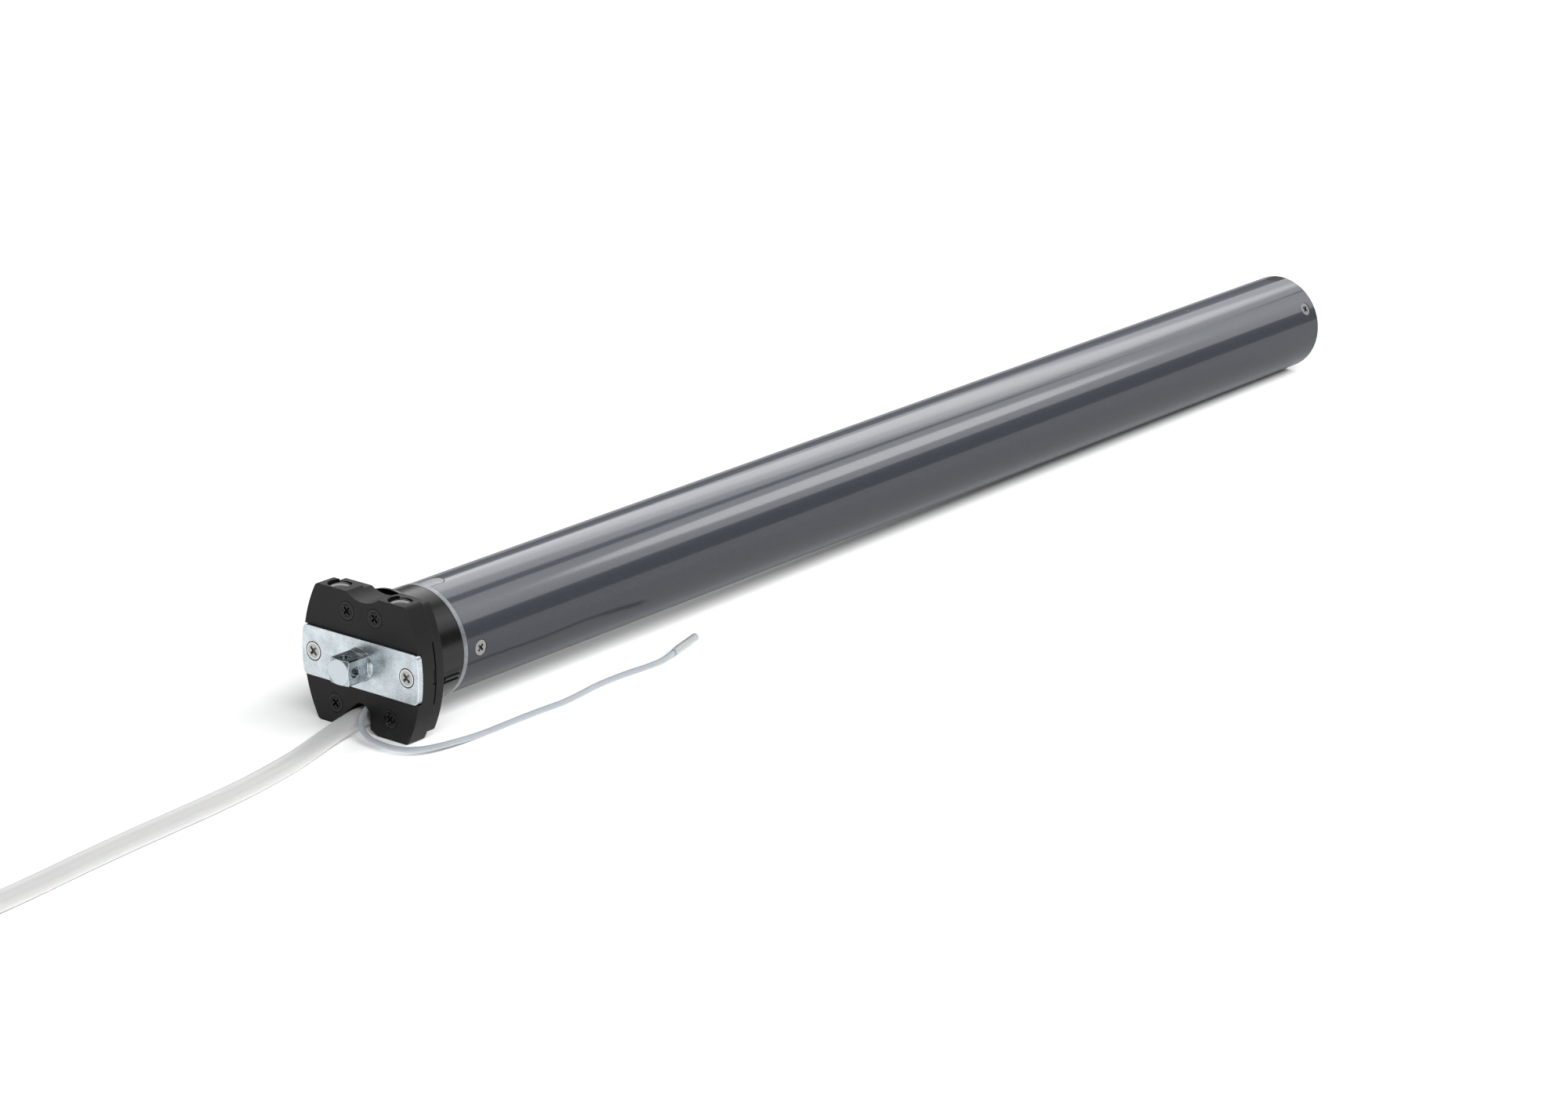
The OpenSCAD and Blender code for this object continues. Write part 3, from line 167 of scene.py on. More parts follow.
class MotorSizes(bpy.types.PropertyGroup):
    """Sizes of the made pieces, and the camera's lens."""
    cable_diameter: FloatProperty(
        name="Cable", description="Outside diameter of the power cable",
        default=CABLE_D * MM, unit="LENGTH")
    wire_diameter: FloatProperty(
        name="Aerial wire", description="Outside diameter of the aerial wire",
        default=WIRE_D * MM, unit="LENGTH")
    sleeve_diameter: FloatProperty(
        name="Aerial sleeve", description="Outside diameter of the sleeve on the aerial's end",
        default=SLEEVE_D * MM, unit="LENGTH")
    cord_sides: IntProperty(
        name="Cord sides", description="Faces round a cord", default=24, min=8, max=48)
    lens: FloatProperty(
        name="Lens", description="Focal length on a sensor 36 mm wide",
        default=102.19, subtype="DISTANCE_CAMERA")


def colour(name, description, default):
    """Property for one colour, in linear red, green and blue."""
    return FloatVectorProperty(
        name=name, description=description, default=default, subtype="COLOR", size=3, min=0.0, max=1.0)


class MotorColours(bpy.types.PropertyGroup):
    """Colours of the finishes."""
    moulding: colour("Moulding", "Black plastic of the head", (0.0085, 0.0085, 0.009))
    crown: colour("Crown ring", "Black plastic of the turning ring", (0.0028, 0.0028, 0.003))
    lacquer: colour("Lacquer", "Metallic lacquer of the motor tube", (0.042, 0.0465, 0.055))
    zinc: colour("Zinc", "Zinc plating of the plate and the pin", (0.6, 0.66, 0.69))
    screw: colour("Screws", "Bright screws of the plate and the tube", (0.42, 0.42, 0.415))
    black_screw: colour("Black screws", "Blackened screws of the head", (0.004, 0.004, 0.0043))
    ring: colour("End ring", "Cast ring at the front of the tube", (0.29, 0.3, 0.315))
    jacket: colour("Cable jacket", "Soft plastic of the power cable", (0.8, 0.8, 0.79))
    aerial: colour("Aerial jacket", "Soft plastic of the aerial wire", (0.6, 0.645, 0.69))
    sleeve: colour("Sleeve", "Milky sleeve on the aerial's end", (0.66, 0.69, 0.71))
    floor: colour("Floor", "Surface that the motor lies on", (0.86, 0.86, 0.86))


# Shader maths as Python expressions

BEVEL_SAMPLES = 4
# Sockets of a Mix node that mixes colours: its factor, the two colours and the result
MIX_INPUTS = (0, 6, 7)
MIX_RESULT = 2


class Number:
    """A value that varies over a surface. Its operators add Math nodes to the material."""

    def __init__(self, finish, socket):
        self.finish = finish
        self.socket = socket

    def _math(self, operation, *values):
        return self.finish.node("ShaderNodeMath", {"operation": operation}, *values)

    def __add__(self, other):
        return self._math("ADD", self, other)

    def __sub__(self, other):
        return self._math("SUBTRACT", self, other)

    def __rsub__(self, other):
        return self._math("SUBTRACT", other, self)

    def __mul__(self, other):
        return self._math("MULTIPLY", self, other)

    def __truediv__(self, other):
        return self._math("DIVIDE", self, other)

    def __rtruediv__(self, other):
        return self._math("DIVIDE", other, self)

    def __pow__(self, other):
        return self._math("POWER", self, other)

    __radd__ = __add__
    __rmul__ = __mul__

    def sine(self):
        return self._math("SINE", self)

    def absolute(self):
        return self._math("ABSOLUTE", self)

    def least(self, other):
        return self._math("MINIMUM", self, other)

    def over(self, level):
        """1 where the value is over a level, else 0."""
        return self._math("GREATER_THAN", self, level)

    def wrapped(self, step):
        """The value's place within repeated steps, from 0 to 1."""
        return self._math("FRACT", self / step)

    def eased(self, low, high):
        """0 below low and 1 above high, with a soft rise between."""
        settings = {"interpolation_type": "SMOOTHSTEP"}
        return self.finish.node("ShaderNodeMapRange", settings, self, low, high, 0.0, 1.0)


class Finish:
    """A procedural material: one Principled shader, and the nodes that vary it over a surface."""

    def __init__(self, name, **constants):
        self.material = bpy.data.materials.new(name)
        self.material.use_nodes = True
        self.tree = self.material.node_tree
        self.shader = self.tree.nodes["Principled BSDF"]
        self.place = None
        for socket, value in constants.items():
            label = socket.replace("_", " ").title().replace("Ior", "IOR")
            self.set(label, value)

    def node(self, kind, settings=None, *values, output=0, **named):
        """Any node: its settings come first, then the values or links of its sockets."""
        made = self.tree.nodes.new(kind)
        for key, value in (settings or {}).items():
            setattr(made, key, value)
        for socket, value in (*enumerate(values), *named.items()):
            self.feed(made.inputs[socket], value)
        return Number(self, made.outputs[output])

    def feed(self, socket, value):
        """Links or sets one socket."""
        if isinstance(value, Number):
            self.tree.links.new(value.socket, socket)
        elif value is not None:
            socket.default_value = (*value, 1.0) if socket.type == "RGBA" and len(value) == 3 else value

    def set(self, socket, value):
        """Feeds a socket of the shader."""
        self.feed(self.shader.inputs[socket], value)

    def where(self):
        """Place on the piece, in metres."""
        if self.place is None:
            self.place = self.node("ShaderNodeTexCoord", output="Object")
        return self.place

    def axes(self):
        """The three coordinates as numbers."""
        split = self.node("ShaderNodeSeparateXYZ", None, self.where())
        return [Number(self, split.socket.node.outputs[i]) for i in range(3)]

    def radius(self):
        """Distance from the motor's axis."""
        _, y, z = self.axes()
        return (y * y + z * z) ** 0.5

    def noise(self, size, detail=2.0, rough=0.5, stretch=(1.0, 1.0, 1.0)):
        """Cloudy pattern with features of about this size; stretch draws them out along an axis."""
        at = self.where()
        if stretch != (1.0, 1.0, 1.0):
            scale = tuple(1.0 / s for s in stretch)
            at = self.node("ShaderNodeMapping", {"vector_type": "POINT"}, at, Scale=scale)
        return self.node(
            "ShaderNodeTexNoise", None, Vector=at, Scale=1.0 / size, Detail=detail, Roughness=rough)

    def cells(self, size):
        """Random brightness of small cells, as of metal flakes or crystals."""
        made = self.node(
            "ShaderNodeTexVoronoi", None, output="Color", Vector=self.where(), Scale=1.0 / size)
        return self.node("ShaderNodeSeparateColor", None, made)

    def mix(self, share, a, b):
        """Colour between a and b."""
        made = self.tree.nodes.new("ShaderNodeMix")
        made.data_type = "RGBA"
        for index, value in zip(MIX_INPUTS, (share, a, b)):
            self.feed(made.inputs[index], value)
        return Number(self, made.outputs[MIX_RESULT])

    def relief(self, height, depth, edge=0.0):
        """Bump of this depth in metres, on edges rounded by the radius edge."""
        under = self.node("ShaderNodeBevel", {"samples": BEVEL_SAMPLES}, edge) if edge else None
        self.set("Normal", self.node(
            "ShaderNodeBump", None, Strength=1.0, Distance=depth, Height=height, Normal=under))

    def edges(self, width):
        """1 on a line along sharp edges, 0 on flat ground: the mask for painted edge highlights, and for
        wear on the mouldings.
        """
        soft = self.node("ShaderNodeBevel", {"samples": BEVEL_SAMPLES}, width)
        flat = self.node("ShaderNodeNewGeometry", output="Normal")
        dot = self.node("ShaderNodeVectorMath", {"operation": "DOT_PRODUCT"}, soft, flat, output="Value")
        return (1.0 - dot).eased(0.01, 0.12)


def tint(shade, factor):
    """A colour made lighter or darker, in Python."""
    return tuple(min(1.0, c * factor) for c in shade)


def waves(value, step):
    """A sine between 0 and 1 that repeats with each step of the value."""
    return (value * (2 * math.pi / step)).sine() * 0.5 + 0.5


# Finishes, each named for what it covers

def moulded_plastic(name, shade, roughness, grain=0.35 * MM, depth=0.03 * MM, gloss=0.25):
    """Moulded plastic with a fine grain, slight flow marks and paler edges, partly wear and partly a painted
    highlight.
    """
    f = Finish(name, specular_ior_level=gloss)
    fine = f.noise(grain, 3.0, 0.6)
    cloud = f.noise(9 * MM, 3.0)
    # Painted edge highlight, partly wear: a pale line along the sharp edges, six times the body's colour
    wear_and_highlight = f.edges(0.4 * MM) * (cloud + 0.3)
    body = f.mix(fine * 0.6 + cloud * 0.4, tint(shade, 0.72), tint(shade, 1.35))
    f.set("Base Color", f.mix(wear_and_highlight * 0.6, body, tint(shade, 6.0)))
    f.set("Roughness", roughness + (fine - 0.5) * 0.22 + (cloud - 0.5) * 0.12)
    f.relief(fine, depth, 0.2 * MM)
    return f.material


def crown_plastic(name, shade):
    """Smooth, glossy moulded ring with faint turning marks."""
    f = Finish(name, specular_ior_level=0.36)
    cloud = f.noise(6 * MM, 3.0)
    marks = f.noise(0.5 * MM, 1.0, stretch=(0.25, 6.0, 6.0))
    f.set("Base Color", f.mix(cloud, tint(shade, 0.8), tint(shade, 1.5)))
    f.set("Roughness", 0.19 + cloud * 0.1 + (marks - 0.5) * 0.06)
    f.relief(marks, 0.006 * MM, 0.25 * MM)
    return f.material


def tube_lacquer(name, shade):
    """Dark metallic lacquer: flakes under a clear coat with a slight orange peel."""
    f = Finish(name, metallic=0.3, coat_weight=0.26, coat_roughness=0.1, coat_ior=2.0,
               specular_ior_level=0.05, specular_tint=(0.3, 0.31, 0.33))
    flakes = f.cells(0.1 * MM)
    cloud = f.noise(45 * MM, 2.0, stretch=(3.0, 1.0, 1.0))
    peel = f.noise(1.6 * MM, 1.0)
    body = f.mix(flakes, tint(shade, 0.82), tint(shade, 1.18))
    f.set("Base Color", f.mix(flakes.over(0.93), body, tint(shade, 1.6)))
    f.set("Roughness", 0.34 + (cloud - 0.5) * 0.05 + (flakes - 0.5) * 0.08)
    f.relief(peel, 0.0035 * MM, 0.2 * MM)
    return f.material


def zinc_sheet(name, shade):
    """Zinc-plated sheet: satin, mottled by fine crystals and by larger stains, with a painted highlight
    along its bent edges.
    """
    f = Finish(name, metallic=0.94)
    crystals = f.cells(0.45 * MM)
    fine = f.noise(0.5 * MM, 3.0, 0.65)
    cloud = f.noise(6 * MM, 4.0, 0.6)
    mottle = (fine * 0.45 + cloud * 0.55).eased(0.34, 0.66)
    body = f.mix(mottle, tint(shade, 0.66), tint(shade, 1.1))
    body = f.mix(crystals * 0.3, body, tint(shade, 1.3))
    # Painted highlight: the sharp edges turn near white
    f.set("Base Color", f.mix(f.edges(0.7 * MM), body, (0.93, 0.96, 0.97)))
    f.set("Roughness", 0.3 + (fine - 0.5) * 0.35 + (cloud - 0.5) * 0.12)
    f.relief(fine * 0.7 + crystals * 0.3, 0.035 * MM, 0.45 * MM)
    return f.material


def pin_steel(name, shade):
    """Bright zinc on the square pin, pale and ringed on its turned tip, darker and mottled on its flats,
    with a painted highlight along its edges.
    """
    f = Finish(name, metallic=1.0)
    x, _, _ = f.axes()
    tip = 1.0 - x.over(PIN_TIP_X * MM)
    fine = f.noise(0.5 * MM, 3.0, 0.6)
    cloud = f.noise(3.5 * MM, 3.0, 0.6)
    rings = waves(f.radius() + cloud * 0.5 * MM, 0.6 * MM)
    drawn = f.noise(0.35 * MM, 1.0, stretch=(9.0, 1.0, 1.0))
    flats = f.mix((cloud * 0.7 + fine * 0.3).eased(0.34, 0.66), tint(shade, 0.4), tint(shade, 0.95))
    turned = f.mix(rings * 0.35 + fine * 0.65, tint(shade, 0.62), tint(shade, 1.3))
    body = f.mix(tip, flats, turned)
    # Painted highlight: the sharp edges turn near white
    f.set("Base Color", f.mix(f.edges(0.5 * MM), body, (0.9, 0.94, 0.94)))
    f.set("Roughness", 0.16 + fine * 0.12 + tip * 0.14)
    f.relief(drawn * (1.0 - tip) + rings * tip, 0.009 * MM, 0.3 * MM)
    return f.material


def bright_metal(name, shade, roughness, size=0.6 * MM, depth=0.01 * MM):
    """Plated or machined metal, lightly mottled, with softened edges."""
    f = Finish(name, metallic=1.0)
    fine = f.noise(size, 3.0, 0.6)
    cloud = f.noise(5 * MM, 2.0)
    f.set("Base Color", f.mix(fine, tint(shade, 0.72), tint(shade, 1.25)))
    f.set("Roughness", roughness + (cloud - 0.5) * 0.14 + (fine - 0.5) * 0.12)
    f.relief(fine, depth, 0.12 * MM)
    return f.material


def screw_metal(name, shade, pale, places, roughness, ring_highlight, **constants):
    """Screws that face along the tube: a painted shade ring round each head, where the gap to its seat would
    be shaded, a painted highlight ring inside it, painted highlights on its edges, turned marks.

    A place is a head's distance from the middle plane and its height, in millimetres. The pattern follows
    the distance from the nearest place.
    """
    f = Finish(name, **constants)
    _, y, z = f.axes()
    aside = y.absolute()
    reach = None
    for across, height in places:
        away = ((aside - across * MM) ** 2.0 + (z - height * MM) ** 2.0) ** 0.5
        reach = away if reach is None else reach.least(away)
    # Painted shade: a near-black ring at the head's edge, where the gap to its seat would be shaded
    gap_shade = reach.eased((SCREW_HEAD_R - 0.42) * MM, (SCREW_HEAD_R - 0.22) * MM)
    # Painted highlight: a pale ring inside the shade ring
    rim = reach.eased((SCREW_HEAD_R - 1.1) * MM, (SCREW_HEAD_R - 0.75) * MM) * (1.0 - gap_shade)
    turned = waves(reach, 0.4 * MM)
    fine = f.noise(0.4 * MM, 3.0, 0.6)
    body = f.mix(fine * 0.7 + turned * 0.3, tint(shade, 0.6), tint(shade, 1.3))
    # Painted highlights in the pale colour: on the ring, and on the sharp edges with some wear
    wear_and_highlight = f.mix(rim * ring_highlight + f.edges(0.3 * MM) * 0.8, body, pale)
    f.set("Base Color", f.mix(gap_shade, wear_and_highlight, (0.006, 0.006, 0.006)))
    f.set("Roughness", roughness + (fine - 0.5) * 0.16 + gap_shade * 0.3)
    f.relief(fine * 0.5 + turned * 0.5, 0.012 * MM, 0.15 * MM)
    return f.material


def cast_metal(name, shade, roughness=0.42):
    """Die-cast metal: a rough skin with small pits."""
    f = Finish(name, metallic=0.9)
    skin = f.noise(0.7 * MM, 4.0, 0.7)
    pits = f.cells(0.9 * MM)
    f.set("Base Color", f.mix(skin * 0.7 + pits * 0.3, tint(shade, 0.62), tint(shade, 1.35)))
    f.set("Roughness", roughness + (skin - 0.5) * 0.35)
    f.relief(skin, 0.05 * MM, 0.25 * MM)
    return f.material


def turned_metal(name, shade, roughness=0.28, step=0.3 * MM):
    """Turned steel or bronze: fine rings along the motor's axis."""
    f = Finish(name, metallic=1.0)
    x, _, _ = f.axes()
    rings = waves(x, step)
    cloud = f.noise(4 * MM, 3.0)
    f.set("Base Color", f.mix(cloud, tint(shade, 0.78), tint(shade, 1.2)))
    f.set("Roughness", roughness + rings * 0.08 + (cloud - 0.5) * 0.1)
    f.relief(rings * 0.6 + cloud * 0.4, 0.008 * MM, 0.12 * MM)
    return f.material


def stacked_sheets(name, shade):
    """Laminations: half-millimetre sheets side by side, each with its own tone."""
    f = Finish(name, metallic=0.9)
    x, _, _ = f.axes()
    joint = x.wrapped(0.5 * MM).eased(0.0, 0.25)
    tone = f.noise(0.5 * MM, 0.0, stretch=(1.0, 60.0, 60.0))
    f.set("Base Color", f.mix(joint * 0.6 + tone * 0.4, tint(shade, 0.45), tint(shade, 1.25)))
    f.set("Roughness", 0.42 - joint * 0.08 + tone * 0.05)
    f.relief(joint, 0.04 * MM)
    return f.material


def wound_copper(name, shade):
    """Enamelled wire, laid side by side."""
    f = Finish(name, metallic=0.85, coat_weight=0.6, coat_roughness=0.15)
    strands = waves(f.radius(), 0.6 * MM)
    stray = f.noise(1.5 * MM, 2.0, stretch=(4.0, 1.0, 1.0))
    f.set("Base Color", f.mix(strands * 0.6 + stray * 0.4, tint(shade, 0.4), tint(shade, 1.25)))
    f.set("Roughness", 0.3 + stray * 0.12)
    f.relief(strands, 0.12 * MM)
    return f.material


def circuit_board(name, shade):
    """Green solder resist over copper tracks, with bright pads in rows."""
    f = Finish(name, specular_ior_level=0.6)
    x, y, _ = f.axes()
    along = x.wrapped(5.08 * MM)
    across = y.wrapped(5.08 * MM)
    tracks = (f.noise(6 * MM, 1.0, stretch=(5.0, 1.0, 1.0)) * 9.0).sine().over(0.55)
    hole = ((along - 0.5) ** 2.0 + (across - 0.5) ** 2.0) ** 0.5
    pad = 1.0 - hole.over(0.16)
    body = f.mix(tracks, tint(shade, 0.8), tint(shade, 1.6))
    f.set("Base Color", f.mix(pad, body, (0.62, 0.6, 0.52)))
    f.set("Metallic", pad * 0.9)
    f.set("Roughness", 0.32 + pad * 0.08)
    f.relief(tracks * 0.5 + pad, 0.03 * MM, 0.1 * MM)
    return f.material


def soft_jacket(name, shade, roughness=0.36, translucent=0.15, dust=0.1):
    """Soft plastic skin of a cord, with long draw marks and a little dust."""
    f = Finish(name, subsurface_weight=translucent, subsurface_scale=0.4 * MM, specular_ior_level=0.5)
    marks = f.noise(1.2 * MM, 2.0, stretch=(8.0, 1.5, 1.5))
    cloud = f.noise(14 * MM, 3.0)
    body = f.mix(cloud * 0.6 + marks * 0.4, tint(shade, 0.95), tint(shade, 1.04))
    f.set("Base Color", f.mix(cloud.eased(0.55, 0.8) * dust, body, tint(shade, 0.86)))
    f.set("Roughness", roughness + (marks - 0.5) * 0.1 + (cloud - 0.5) * 0.08)
    f.relief(marks, 0.006 * MM)
    return f.material


def floor_paper(name, shade):
    """Matt paper sweep that glows a little, so that no shadow on it is black."""
    f = Finish(name, specular_ior_level=0.2, emission_color=(1.0, 1.0, 1.0), emission_strength=0.04)
    grain = f.noise(0.8 * MM, 2.0)
    f.set("Base Color", f.mix(grain, tint(shade, 0.99), tint(shade, 1.0)))
    f.set("Roughness", 0.85 + (grain - 0.5) * 0.1)
    return f.material


def coat(finish, *nodes):
    """Gives CAD nodes a finish."""
    for name in nodes:
        slots = NODES[name].data.materials
        slots.clear()
        slots.append(finish)


# Surfaces worked out with numpy

def smooth_route(points, step):
    """Points every step along a smooth line through a route.

    Between two points the line is the cubic that leaves and enters along the chords of their neighbours.
    """
    p = np.array(points, float)
    ends = np.vstack([2 * p[0] - p[1], p, 2 * p[-1] - p[-2]])
    t = np.linspace(0.0, 1.0, 24, endpoint=False)[:, None]
    a, b, c, d = (ends[i:len(ends) - 3 + i, None, :] for i in range(4))
    length = [np.linalg.norm(v - u, axis=2, keepdims=True) for u, v in ((a, b), (b, c), (c, d))]
    leave = ((b - a) / length[0] - (c - a) / (length[0] + length[1]) + (c - b) / length[1]) * length[1]
    enter = ((c - b) / length[1] - (d - b) / (length[1] + length[2]) + (d - c) / length[2]) * length[1]
    fine = ((2 * t**3 - 3 * t**2 + 1) * b + (t**3 - 2 * t**2 + t) * leave
            + (3 * t**2 - 2 * t**3) * c + (t**3 - t**2) * enter)
    fine = np.vstack([fine.reshape(-1, 3), p[-1]])
    run = np.concatenate([[0.0], np.cumsum(np.linalg.norm(np.diff(fine, axis=0), axis=1))])
    at = np.linspace(0.0, run[-1], max(2, int(round(run[-1] / step)) + 1))
    return np.column_stack([np.interp(at, run, fine[:, k]) for k in range(3)])


def coil_route(per_turn):
    """Points of the put-away coil: it winds in on the floor, climbs where it reverses and winds out.

    The radius is the least one plus the pitch times the turns from the middle. The height follows half a
    cosine, over the half turn round the middle.
    """
    t = np.linspace(0.0, COIL_TURNS, int(per_turn * COIL_TURNS) + 1)
    radius = COIL_INNER + COIL_PITCH * np.abs(t - COIL_TURNS / 2)
    climb = np.clip(0.5 + 2 * (t - COIL_TURNS / 2), 0.0, 1.0)
    height = COIL_Z + COIL_PITCH * (1 - np.cos(np.pi * climb)) / 2
    turn = 2 * np.pi * t
    x = COIL_CENTRE[0] - radius * np.sin(turn)
    y = COIL_CENTRE[1] - radius * np.cos(turn)
    return np.column_stack([x, y, height])


def swept(name, path, radii, sides):
    """Skin of a round cord: a ring of points in the plane across the path at each of its points.

    A point is the centre plus the radius times the cosine along the level side, and the sine along the
    side that stands on it.
    """
    path = np.asarray(path, float)
    heading = np.gradient(path, axis=0)
    heading /= np.linalg.norm(heading, axis=1, keepdims=True)
    level = np.cross([0.0, 0.0, 1.0], heading)
    level /= np.linalg.norm(level, axis=1, keepdims=True)
    upright = np.cross(heading, level)
    turn = np.linspace(0.0, 2 * np.pi, sides, endpoint=False)[None, :, None]
    radii = np.broadcast_to(np.asarray(radii, float), (len(path),))[:, None, None]
    outward = np.cos(turn) * level[:, None, :] + np.sin(turn) * upright[:, None, :]
    points = path[:, None, :] + radii * outward
    ring, side = np.meshgrid(np.arange(len(path) - 1), np.arange(sides), indexing="ij")
    after = (side + 1) % sides
    quads = np.stack([ring * sides + side, ring * sides + after, (ring + 1) * sides + after,
                      (ring + 1) * sides + side], axis=-1).reshape(-1, 4)
    last = (len(path) - 1) * sides
    caps = [list(range(sides - 1, -1, -1)), list(range(last, last + sides))]
    return piece(name, points.reshape(-1, 3), quads.tolist() + caps)


def piece(name, points, faces):
    """Object at the origin from points in millimetres, shaded smooth but for its ends."""
    mesh = bpy.data.meshes.new(name)
    mesh.from_pydata((np.asarray(points) * MM).tolist(), [], faces)
    smooth = np.array([len(f) == 4 for f in faces])
    mesh.polygons.foreach_set("use_smooth", smooth)
    mesh.update()
    made = bpy.data.objects.new(name, mesh)
    bpy.context.scene.collection.objects.link(made)
    return made


# Operators, one for each piece or group

class MOTOR_OT_camera(bpy.types.Operator):
    """Puts the camera where the photograph was taken from"""
    bl_idname = "tubular_motor.place_camera"
    bl_label = "Place camera"

    def execute(self, context):
        right = Vector(CAMERA_RIGHT).normalized()
        look = Vector(CAMERA_LOOK).normalized()
        turn = Matrix((right, right.cross(look), -look)).transposed()
        data = bpy.data.cameras.new("camera")
        data.sensor_width = SENSOR_WIDTH
        data.lens = context.scene.motor_sizes.lens
        data.clip_start, data.clip_end = CAMERA_NEAR, CAMERA_FAR
        camera = bpy.data.objects.new("camera", data)
        context.scene.collection.objects.link(camera)
        camera.matrix_world = Matrix.Translation(CAMERA_PLACE) @ turn.to_4x4()
        context.scene.camera = camera
        return {"FINISHED"}


class MOTOR_OT_power_cable(bpy.types.Operator):
    """Lays the power cable and winds its put-away coil"""
    bl_idname = "tubular_motor.lay_power_cable"
    bl_label = "Lay power cable"

    def execute(self, context):
        sizes, colours = context.scene.motor_sizes, context.scene.motor_colours
        run = smooth_route(CABLE_ROUTE, CABLE_STEP)
        coil = coil_route(COIL_POINTS)
        out = coil[-1] - np.array([[2.5, 0, 0], [5.0, 0, 0], [CABLE_D, 0, 0]])
        path = np.vstack([run[:-1], coil, out])
        cable = swept("power_cable_run", path, sizes.cable_diameter / MM / 2, sizes.cord_sides)
        cable.data.materials.append(soft_jacket("white_jacket", colours.jacket))
        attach(cable, "motor")
        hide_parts("power_cable", "power_cable_coil")
        cores = self.cores(path[-1])
        tie = self.tie()
        return {"FINISHED"}

    def cores(self, end):
        """Three insulated cores that splay a little, each with a bare copper tip."""
        made = []
        copper = bright_metal("bare_copper", (0.8, 0.38, 0.2), 0.28)
        shades = (("brown_core", (0.12, 0.05, 0.025)), ("blue_core", (0.02, 0.11, 0.42)),
                  ("earth_core", (0.3, 0.42, 0.03)))
        for k, (name, shade) in enumerate(shades):
            turn = 2 * math.pi * k / 3
            aside = np.array([0.0, math.cos(turn), math.sin(turn)])
            s = np.linspace(0.0, 1.0, CORE_POINTS)[:, None]
            line = end + aside * (CORE_RING_R + CORE_SPLAY * s**2) + np.array([-CORE_REACH, 0, 0]) * s
            skin = swept(name, line[:CORE_SKIN_POINTS], CORE_R, CORE_SIDES)
            skin.data.materials.append(soft_jacket(name + "_skin", shade, 0.4, 0.0))
            tip = swept(name + "_tip", line[CORE_SKIN_POINTS - 1:], COPPER_R, COPPER_SIDES)
            tip.data.materials.append(copper)
            for part in (skin, tip):
                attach(part, "motor")
            made += [skin, tip]
        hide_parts("cable_cores")
        return made

    def tie(self):
        """Band that holds the coil: the CAD node, with its own finish."""
        coat(moulded_plastic("tie_band", (0.03, 0.03, 0.032), 0.5), "coil_tie")
        return NODES["coil_tie"]


class MOTOR_OT_aerial(bpy.types.Operator):
    """Lays the aerial wire with the sleeve on its end"""
    bl_idname = "tubular_motor.lay_aerial"
    bl_label = "Lay aerial"

    def execute(self, context):
        sizes, colours = context.scene.motor_sizes, context.scene.motor_colours
        path = smooth_route(WIRE_ROUTE, WIRE_STEP)
        wire = swept("aerial_run", path, sizes.wire_diameter / MM / 2, sizes.cord_sides)
        wire.data.materials.append(soft_jacket("aerial_jacket", colours.aerial, 0.3, 0.1))
        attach(wire, "motor")
        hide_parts("antenna_wire")
        sleeve = self.sleeve(sizes.sleeve_diameter / MM / 2, colours.sleeve)
        return {"FINISHED"}

    def sleeve(self, radius, shade):
        """Milky sleeve: its radius swells to the full one near the wire, and it ends in a half ball."""
        ball = radius / SLEEVE_LEN
        s = np.concatenate([np.linspace(0.0, 1.0 - ball, 40, endpoint=False),
                            1.0 - ball * (1 - np.sin(np.linspace(0.0, np.pi / 2, 14)))])
        left = np.clip((1.0 - s) * SLEEVE_LEN / radius, 0.0, 1.0)
        rise = np.sin(np.clip(s / SLEEVE_SWELL, 0.0, 1.0) * np.pi / 2)
        swell = SLEEVE_START + (1.0 - SLEEVE_START) * rise
        profile = radius * swell * np.sqrt(np.clip(1.0 - (1.0 - left) ** 2, LEAST_TIP, 1.0))
        turn = math.radians(SLEEVE_TURN)
        heading = np.array([math.cos(turn), math.sin(turn), 0.0])
        line = np.array(SLEEVE_AT) + s[:, None] * SLEEVE_LEN * heading
        made = swept("aerial_sleeve", line, profile, SLEEVE_SIDES)
        made.data.materials.append(soft_jacket("milky_sleeve", shade, 0.22, 0.4, 0.0))
        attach(made, "motor")
        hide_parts("antenna_sleeve")
        return made


class MOTOR_OT_head(bpy.types.Operator):
    """Finishes the moulded head, its buttons, plate, pin and screws"""
    bl_idname = "tubular_motor.finish_head"
    bl_label = "Finish head"

    def execute(self, context):
        colours = context.scene.motor_colours
        coat(moulded_plastic("head_moulding", colours.moulding, 0.5), "head_front", "head_body")
        coat(moulded_plastic("entry_moulding", tint(colours.moulding, 0.8), 0.6), "cable_entry")
        coat(moulded_plastic("button_moulding", tint(colours.moulding, 0.8), 0.16,
                             depth=0.002 * MM, gloss=0.6),
             "setting_button_left", "setting_button_right")
        coat(zinc_sheet("zinc_sheet", colours.zinc), "mounting_plate")
        coat(pin_steel("zinc_pin", colours.zinc), "square_pin")
        # The pale colour and the last number of each screw finish are its painted highlights: their colour
        # and their strength on the ring
        coat(screw_metal("plate_screws", colours.screw, (0.85, 0.86, 0.85), PLATE_SCREWS,
                         0.26, 0.55, metallic=1.0), "plate_screws")
        coat(screw_metal("black_screws", colours.black_screw, (0.3, 0.3, 0.3), HEAD_SCREWS,
                         0.2, 0.1, metallic=0.3, specular_ior_level=0.22), "head_screws")
        coat(bright_metal("tube_screws", tint(colours.screw, 0.75), 0.24),
             "tube_screws_front", "tube_screws_rear")
        coat(crown_plastic("crown_moulding", colours.crown), "crown_ring")
        coat(bright_metal("nickel_magnets", (0.6, 0.6, 0.6), 0.2), "crown_magnets")
        return {"FINISHED"}


